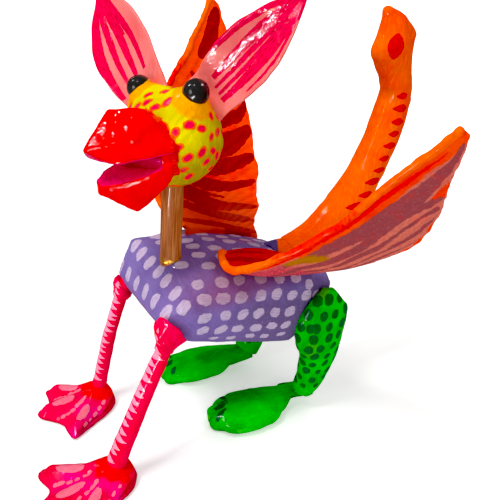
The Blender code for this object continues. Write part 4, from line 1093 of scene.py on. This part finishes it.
def build_front_legs():
    for side in ("left", "right"):
        lumps = Lumps(71 if side == "left" else 72)
        leg = remesh(node_shape("front_leg_" + side), 0.45, 4)
        leg.swell(0.15 + 0.26 * lumps(leg.points, 5.0))
        points, normals = leg.points, leg.normals()
        dabs = []
        top, bottom = (80.0, 16.0) if side == "left" else (76.0, 19.0)
        count = 16
        rng = np.random.default_rng(73 if side == "left" else 74)
        for k in range(count):
            z = top - (top - bottom) * (k + 0.5) / count + rng.uniform(-0.4, 0.4)
            middle = points[np.abs(points[:, 2] - z) < 0.8].mean(0)
            size = rng.uniform(0.85, 1.2)
            dabs.append(dab(points, normals, middle + np.array((0.22, -0.97, 0.0)) * 8.0, (0.95, 0.26, -0.22),
                            2.9 * size, 1.45 * size, taper=0.60))
        paint_dabs(leg, dabs, "wedges", 75, 2.2)
        leg.fields["tone_and_shade"] = 0.6 * lumps(points, 5.0) - 0.5 * (normals[:, 1] + 0.5 * normals[:, 0]) - 0.2
        layers = [{"field": "wedges", "colour": srgb(255, 168, 196), "second": srgb(255, 140, 176), "wobble": 1.1,
                   "grain": 1.1, "lanes": True}]
        paint = painted("leg_pink_" + side, srgb(255, 0, 84), srgb(246, 0, 56), srgb(255, 20, 110), layers, rough=0.25,
                        coat=0.35, tone_and_shade=srgb(232, 0, 8))
        show("front_shin_" + side, leg, paint, "figure", ["front_leg_" + side])
        collar = remesh(hull(node_points("leg_collar_" + side)), 0.5, 5)
        low, high = collar.points[:, 2].min(), collar.points[:, 2].max()
        share = (collar.points[:, 2] - low) / (high - low)
        levels = np.minimum(np.linspace(low, high, 9), points[:, 2].max() - 1.5)
        bands = [points[np.abs(points[:, 2] - level) < 1.0].mean(0) for level in levels]
        axis = np.stack([np.interp(share, np.linspace(0, 1, 9), np.array(bands)[:, k]) for k in (0, 1)], -1)
        offset = collar.points[:, :2] - axis
        far = np.linalg.norm(offset, axis=1, keepdims=True)
        outward = np.clip(offset @ np.array((-0.48, -0.87)) / np.maximum(far[:, 0], 1e-6), 0.0, 1.0)
        limit = 4.3 + ((9.0 - 5.0 * outward) * smoothstep(0.10, 0.72, share))[:, None]
        collar.points[:, :2] = axis + offset * np.minimum(1.0, limit / np.maximum(far, 1e-6))
        collar.swell(0.1 + 0.45 * lumps(collar.points, 4.0) + 0.25 * lumps(collar.points, 2.0))
        dabs = []
        for k in range(4):
            z = low + 3.0 + 3.4 * k
            near_wedge = np.array((np.interp(z, levels, [b[0] for b in bands]),
                                   np.interp(z, levels, [b[1] for b in bands]), z))
            dabs.append(dab(collar.points, collar.normals(), near_wedge + np.array((0.22, -0.97, 0.0)) * 8.0,
                            (0.95, 0.26, -0.22), 2.6 - 0.4 * k, 1.3 - 0.15 * k, taper=0.6))
        paint_dabs(collar, dabs, "wedges", 76, 2.2)
        wrap = painted("collar_pink_" + side, srgb(255, 0, 80), srgb(236, 0, 52), srgb(255, 4, 128), layers, rough=0.22,
                       coat=0.8, speckle=0.16)
        show("shoulder_wrap_" + side, collar, wrap, "figure", ["leg_collar_" + side])
        build_front_foot(side, lumps)


def build_front_foot(side, lumps):
    """A webbed foot: a rib along each toe, hollows between, pale dabs on top."""
    foot = remesh(node_shape("front_foot_" + side), 0.55, 6)
    ankle, tips = FRONT_FEET[side]
    ankle = np.array(ankle)
    flat = foot.points[:, :2]
    top_side = smoothstep(0.1, 0.5, foot.normals()[:, 2])
    ribs = np.zeros(len(flat))
    for tip in tips:
        way = np.array(tip) - ankle
        reach = np.linalg.norm(way)
        way = way / reach
        t = (flat - ankle) @ way
        off = np.abs((flat - ankle) @ np.array([-way[1], way[0]]))
        ribs = np.maximum(ribs, np.exp(-(off / 4.2) ** 2) * smoothstep(0.0, 10.0, t) * smoothstep(reach + 2, reach - 4, t))
    away = np.linalg.norm(flat - ankle, axis=1)
    hollow = (1.0 - ribs) * smoothstep(6.0, 14.0, away)
    foot.points[:, 2] += top_side * (1.9 * ribs - 1.5 * hollow)
    foot.swell(0.2 + 0.4 * lumps(foot.points, 6.0) + 0.2 * lumps(foot.points, 2.8))
    foot.points[:, 2] = np.maximum(foot.points[:, 2], 0.0)
    points, normals = foot.points, foot.normals()
    rng = np.random.default_rng(77 if side == "left" else 78)
    dabs = []
    up = (0.0, 0.0, 1.0)
    for tip in tips:
        way = np.array(tip) - ankle
        place = ankle + way * 0.62
        dabs.append(dab(points, normals, (*place, 9.0), (*way, 0.0), np.linalg.norm(way) * 0.20, 2.5, up, least=0.3))
    for first, second in zip(tips, tips[1:]):
        web = (np.array(first) + np.array(second)) / 2.0 - ankle
        for k in range(6):
            place = ankle + web * (0.30 + 0.115 * k)
            size = rng.uniform(0.8, 1.25)
            dabs.append(dab(points, normals, (*place, 7.0), (*web, 0.0), 1.5 * size, 0.95 * size, up, least=0.2))
    outer = {0: tips[0], 1: tips[-1]}
    for index, tip in outer.items():
        way = np.array(tip) - ankle
        turn = 1.0 if index == 0 else -1.0
        aside = np.array([-way[1], way[0]]) * turn * 0.20
        for k in range(5):
            place = ankle + way * (0.22 + 0.15 * k) + aside
            size = rng.uniform(0.7, 1.2)
            dabs.append(dab(points, normals, (*place, 6.0), (*way, 0.0), 1.5 * size, 1.0 * size, up, least=0.1))
    paint_dabs(foot, dabs, "dabs", 79, 2.2)
    foot.fields["patch"] = np.where(normals[:, 2] > 0.2, away - 9.0, 3.0)
    # Painted shade: the faces of the foot that don't look up, its sides and underside, are darkened to crimson.
    foot.fields["heel"] = np.where(normals[:, 2] < 0.45, -0.6, 1.5) + 0.4 * lumps(points, 3.0)
    foot.fields["tone_and_shade"] = 0.9 * lumps(points, 8.0)
    layers = [{"field": "patch", "colour": srgb(255, 0, 6), "second": srgb(240, 0, 0), "wobble": 5.0, "grain": 5.0,
               "soft": 0.8},
              {"field": "heel", "colour": srgb(206, 0, 40), "second": srgb(176, 0, 30), "wobble": 2.0, "soft": 1.0,
               "cover": 0.8},
              {"field": "dabs", "colour": srgb(255, 130, 150), "second": srgb(252, 100, 136), "wobble": 0.9,
               "lanes": True}]
    toe = painted("foot_pink_" + side, srgb(250, 0, 78), srgb(232, 0, 48), srgb(255, 0, 116), layers, rough=0.22,
                  coat=0.9, speckle=0.16, tone_and_shade=srgb(252, 0, 140))
    show("webbed_foot_" + side, foot, toe, "figure", ["front_foot_" + side])


# ---------------------------------------------------------------- hind legs and feet

# Hind feet: centre of the toe end and the way the foot points, on the ground plane.
HIND_TOES = {"left": ((12.0, 27.0), (-0.42, -0.91)), "right": ((-33.0, 18.0), (-0.12, -0.99))}


# Where each ankle is sawn, and how the underside of the heel lifts: where it starts (y) and how steeply.
ANKLES = {"left": ((17.0, 76.0, 14.6), 60.0, 1.1), "right": ((-27.0, 62.0, 14.6), 38.5, 0.9)}
HEEL_LIFT = 9.0
# The dark strokes between the hind toes: how far past the toe end they are centred, and their half length.
TOE_STROKES = {"left": (1.0, 4.6), "right": (4.5, 2.6)}
# Flat chamfers of the near thigh: way out and reach.
THIGH_CHAMFERS = (((-0.765, -0.502, 0.403), -22.2), ((0.13, 0.755, 0.643), 118.2), ((-0.728, -0.641, 0.241), -41.3),
                   ((-0.519, 0.199, 0.832), 73.0))


def build_hind_legs():
    for side in ("left", "right"):
        lumps = Lumps(81 if side == "left" else 82)
        whole = remesh(joined(node_shape("hind_leg_" + side), node_shape("hind_foot_" + side)), 0.6, 14)
        if side == "left":
            for normal, reach in THIGH_CHAMFERS:
                trim(whole, normal, reach, 40.0)
        inward = -1.0 if side == "left" else 1.0
        inner = smoothstep(-0.1, 0.7, whole.normals()[:, 0] * inward) * smoothstep(56.0, 70.0, whole.points[:, 2])
        whole.points[:, 0] += inward * 2.6 * inner
        end, way = (np.array(v) for v in HIND_TOES[side])
        aside = np.array([-way[1], way[0]])
        flat = whole.points[:, :2] - end
        ahead, across = flat @ way, flat @ aside
        low = smoothstep(20.0, 14.0, whole.points[:, 2])
        toes = 0.9 * smoothstep(-9.0, 3.0, ahead) * np.cos(across * 1.05 + 0.4) * low
        ridge = 0.8 * np.exp(-(across / 3.0) ** 2) * smoothstep(4.0, -6.0, ahead) * low
        whole.swell(0.25 + 0.55 * lumps(whole.points, 9.0) + 0.22 * lumps(whole.points, 3.5) + toes + ridge)
        ankle, start, steep = ANKLES[side]
        lift = np.clip((whole.points[:, 1] - start) * steep, 0.0, HEEL_LIFT)
        whole.points[:, 2] = np.maximum(whole.points[:, 2], lift)
        foot, leg = cut_apart(whole, ankle, (0.0, 0.35, 0.94))
        paint_thigh(side, leg, lumps)
        paint_hind_foot(side, foot, lumps, end, way, aside)


def paint_thigh(side, leg, lumps):
    points, normals = leg.points, leg.normals()
    rng = np.random.default_rng(83 if side == "left" else 84)
    dabs = []
    ankle_height = ANKLES[side][0][2]
    for row in range(11):
        z = 83.0 - 7.2 * row + 0.06 * row * row
        if z < ankle_height + 6.5:
            continue
        for place, out in around_limb(points, z, 8.4 - 0.16 * row, 0.5 * (row % 2) + rng.uniform(-0.1, 0.1)):
            size = (1.24 - 0.032 * row) * rng.uniform(0.78, 1.15)
            place = np.array(place) + rng.uniform(-0.8, 0.8, 3)
            dabs.append(dab(points, normals, place, (0.0, rng.uniform(-0.4, 0.3), 1.0), 2.6 * size, 2.05 * size, out))
    paint_dabs(leg, dabs, "spots", 85, 2.0)
    leg.fields["tone_and_shade"] = 0.7 * lumps(points, 11.0) + 0.9 * smoothstep(76.0, 87.0, points[:, 2]) - 0.1
    layers = [{"field": "spots", "colour": srgb(0, 116, 58), "second": srgb(0, 94, 40), "wobble": 0.9, "lanes": True}]
    paint = painted("leg_green_" + side, srgb(0, 206, 0), srgb(0, 172, 4), srgb(30, 230, 10), layers, rough=0.3,
                    coat=0.4, tone_and_shade=srgb(86, 160, 0))
    show("hind_thigh_" + side, leg, paint, "figure", ["hind_leg_" + side])


def paint_hind_foot(side, foot, lumps, end, way, aside):
    points, normals = foot.points, foot.normals()
    dabs = []
    onward, length = TOE_STROKES[side]
    for k in range(4):
        lean = math.radians(-48.0 + 32.0 * k)
        out = way * math.cos(lean) + aside * math.sin(lean)
        place = end + way * onward + aside * (-7.5 + 5.0 * k)
        dabs.append(dab(points, normals, (*place, 15.0), (*out, -0.4), length, 1.3, (*out, 0.4), least=0.1))
    paint_dabs(foot, dabs, "stripes", 87, 1.8)
    foot.fields["tone_and_shade"] = 1.3 * lumps(points * np.array([1.0, 0.5, 1.0]), 9.0)
    across = (points[:, :2] - end) @ aside
    foot.fields["glow"] = 2.2 + 2.5 * lumps(points * np.array([1.0, 0.35, 1.0]), 6.0) - 1.2 * np.cos(across * 0.5)
    layers = [{"field": "glow", "colour": srgb(96, 232, 0), "second": srgb(40, 214, 0), "wobble": 2.5, "soft": 0.9,
               "streak": (1.0, 5.0, 1.0)},
              {"field": "stripes", "colour": srgb(0, 104, 64), "second": srgb(0, 84, 40), "wobble": 1.2, "lanes": True,
               "dry": 0.2}]
    sole = painted("foot_green_" + side, srgb(0, 212, 0), srgb(0, 174, 4), srgb(60, 236, 0), layers, rough=0.24,
                   coat=0.55, streak=(1.0, 4.0, 1.0), tone_and_shade=srgb(0, 164, 0), speckle=0.14)
    show("hind_paw_" + side, foot, sole, "figure", ["hind_foot_" + side])


# ---------------------------------------------------------------- inside

def build_inside():
    g = Graph("raw_wood_grain")
    grain = g.noise(0.6, 4.0, 0.6, (1.0, 14.0, 1.0), warp=0.5)
    g.put(g.shader.inputs["Base Color"], g.mix(grain, srgb(176, 132, 84), srgb(222, 186, 138)))
    g.shader.inputs["Roughness"].default_value = 0.75
    g.put(g.shader.inputs["Normal"], g.bump(grain, 0.15))
    c = Graph("raw_card_tube")
    fibre = c.noise(0.7, 3.0, 0.7)
    c.put(c.shader.inputs["Base Color"], c.mix(fibre, srgb(150, 116, 78), srgb(186, 150, 108)))
    c.shader.inputs["Roughness"].default_value = 0.85
    c.put(c.shader.inputs["Normal"], c.bump(fibre, 0.1))
    wooden = ("chest_block", "rump_block", "spine_stick", "hind_peg_left", "hind_peg_right", "tail_peg")
    for name in wooden + ("head_tube",):
        obj = frame["nodes"][name]
        material = c.material if name == "head_tube" else g.material
        if obj.material_slots:
            for place in obj.material_slots:
                place.material = material
        else:
            obj.data.materials.append(material)


# ---------------------------------------------------------------- studio

# The only lights that show as glints in the varnish.
GLINT_ONLY = ("low_light", "spark_light", "glint_light")
SPARKLING = GLINT_ONLY + ("window_light",)
CAMERA_PLACE = (222.2, -94.0, 248.9)
CAMERA_RIGHT = (0.478, 0.874, 0.089)
CAMERA_UP = (-0.471, 0.169, 0.866)
CAMERA_FORWARD = (-0.742, 0.456, -0.492)


def build_studio():
    scene = bpy.context.scene
    scene.view_settings.view_transform = "Standard"
    scene.view_settings.use_curve_mapping = True
    scene.view_settings.curve_mapping.black_level = (0.026, 0.026, 0.026)
    scene.view_settings.curve_mapping.update()
    world = bpy.data.worlds.new("studio_air")
    world.use_nodes = True
    tree = world.node_tree
    air = tree.nodes["Background"]
    air.inputs["Color"].default_value = (1.0, 1.0, 1.0, 1.0)
    seen = tree.nodes.new("ShaderNodeLightPath")
    mirrored = tree.nodes.new("ShaderNodeMapRange")
    mirrored.inputs["To Min"].default_value = 0.36
    mirrored.inputs["To Max"].default_value = 0.07
    tree.links.new(seen.outputs["Is Glossy Ray"], mirrored.inputs["Value"])
    level = tree.nodes.new("ShaderNodeMapRange")
    tree.links.new(mirrored.outputs["Result"], level.inputs["To Min"])
    level.inputs["To Max"].default_value = 1.0
    tree.links.new(seen.outputs["Is Camera Ray"], level.inputs["Value"])
    tree.links.new(level.outputs["Result"], air.inputs["Strength"])
    scene.world = world

    floor_mesh = bpy.data.meshes.new("studio_floor")
    half = 3.0
    floor_mesh.from_pydata([(-half, -half, 0.0), (half, -half, 0.0), (half, half, 0.0), (-half, half, 0.0)], [],
                           [(0, 1, 2, 3)])
    floor = bpy.data.objects.new("studio_floor", floor_mesh)
    g = Graph("pale_floor")
    g.shader.inputs["Roughness"].default_value = 0.9
    g.shader.inputs["Specular IOR Level"].default_value = 0.1
    g.shader.inputs["Emission Color"].default_value = (1.0, 1.0, 1.0, 1.0)
    light = g.tree.nodes.new("ShaderNodeLightPath")
    pale, dull = (0.95, 0.95, 0.95, 1.0), (0.22, 0.22, 0.22, 1.0)
    g.put(g.shader.inputs["Base Color"], g.mix(light.outputs["Is Glossy Ray"], pale, dull))
    where = g.tree.nodes.new("ShaderNodeVectorMath")
    where.operation = "LENGTH"
    g.tree.links.new(g.place, where.inputs[0])
    far = g.step(where.outputs["Value"], 230.0, 700.0)
    glow = g.calc("MULTIPLY", light.outputs["Is Camera Ray"], g.calc("ADD", 0.34, g.calc("MULTIPLY", far, 0.8)))
    g.put(g.shader.inputs["Emission Strength"], glow)
    floor_mesh.materials.append(g.material)
    scene.collection.objects.link(floor)

    upright = (0.0, 0.0, 1.0)
    for name, place, wide, tall, power, aim, along in (
            ("window_light", (0.30, -1.10, 0.42), 0.06, 0.45, 2.2, (0.0, 0.0, 0.15), upright),
            ("low_light", (0.186, -0.222, 0.05), 0.024, 0.14, 0.9, (0.020, -0.004, 0.207), (0.62, 0.44, 0.65)),
            ("spark_light", (-0.42, -0.55, 0.80), 0.045, 0.045, 1.4, (0.0, -0.03, 0.17), upright),
            ("glint_light", (0.10, -0.40, 1.05), 0.04, 0.04, 1.0, (0.0, 0.0, 0.05), upright),
            ("key_light", (0.08, -0.50, 1.05), 0.30, 0.30, 7.0, (0.0, 0.0, 0.12), upright),
            ("fill_light", (1.00, 0.25, 0.75), 0.7, 0.7, 3.2, (0.0, 0.0, 0.10), upright),
            ("back_light", (-0.7, 0.6, 0.9), 0.6, 0.6, 1.6, (0.0, 0.0, 0.12), upright)):
        data = bpy.data.lights.new(name, "AREA")
        data.shape = "RECTANGLE"
        data.size = wide
        data.size_y = tall
        data.energy = power
        lamp = bpy.data.objects.new(name, data)
        lamp.visible_glossy = name in SPARKLING
        lamp.visible_diffuse = name not in GLINT_ONLY
        lamp.visible_camera = False
        away = (Vector(place) - Vector(aim)).normalized()
        long_side = Vector(along)
        long_side = (long_side - away * long_side.dot(away)).normalized()
        turn = Matrix((long_side.cross(away), long_side, away)).transposed().to_4x4()
        lamp.matrix_world = Matrix.Translation(Vector(place)) @ turn
        scene.collection.objects.link(lamp)

    lens = bpy.data.cameras.new("camera")
    lens.sensor_width = 36.0
    lens.lens = 43.22
    lens.clip_start = 0.01
    eye = bpy.data.objects.new("camera", lens)
    back = -Vector(CAMERA_FORWARD).normalized()
    right = Vector(CAMERA_RIGHT)
    right = (right - back * right.dot(back)).normalized()
    up = back.cross(right)
    turn = Matrix((right, up, back)).transposed().to_4x4()
    place = Vector(CAMERA_PLACE) * MM + Vector((NECK.x, NECK.y, 0.0))
    eye.matrix_world = Matrix.Translation(place) @ turn
    scene.collection.objects.link(eye)
    scene.camera = eye


build_body()
build_neck()
build_head()
build_mouth()
build_ears()
build_wings()
build_tail()
build_front_legs()
build_hind_legs()
build_inside()
build_studio()
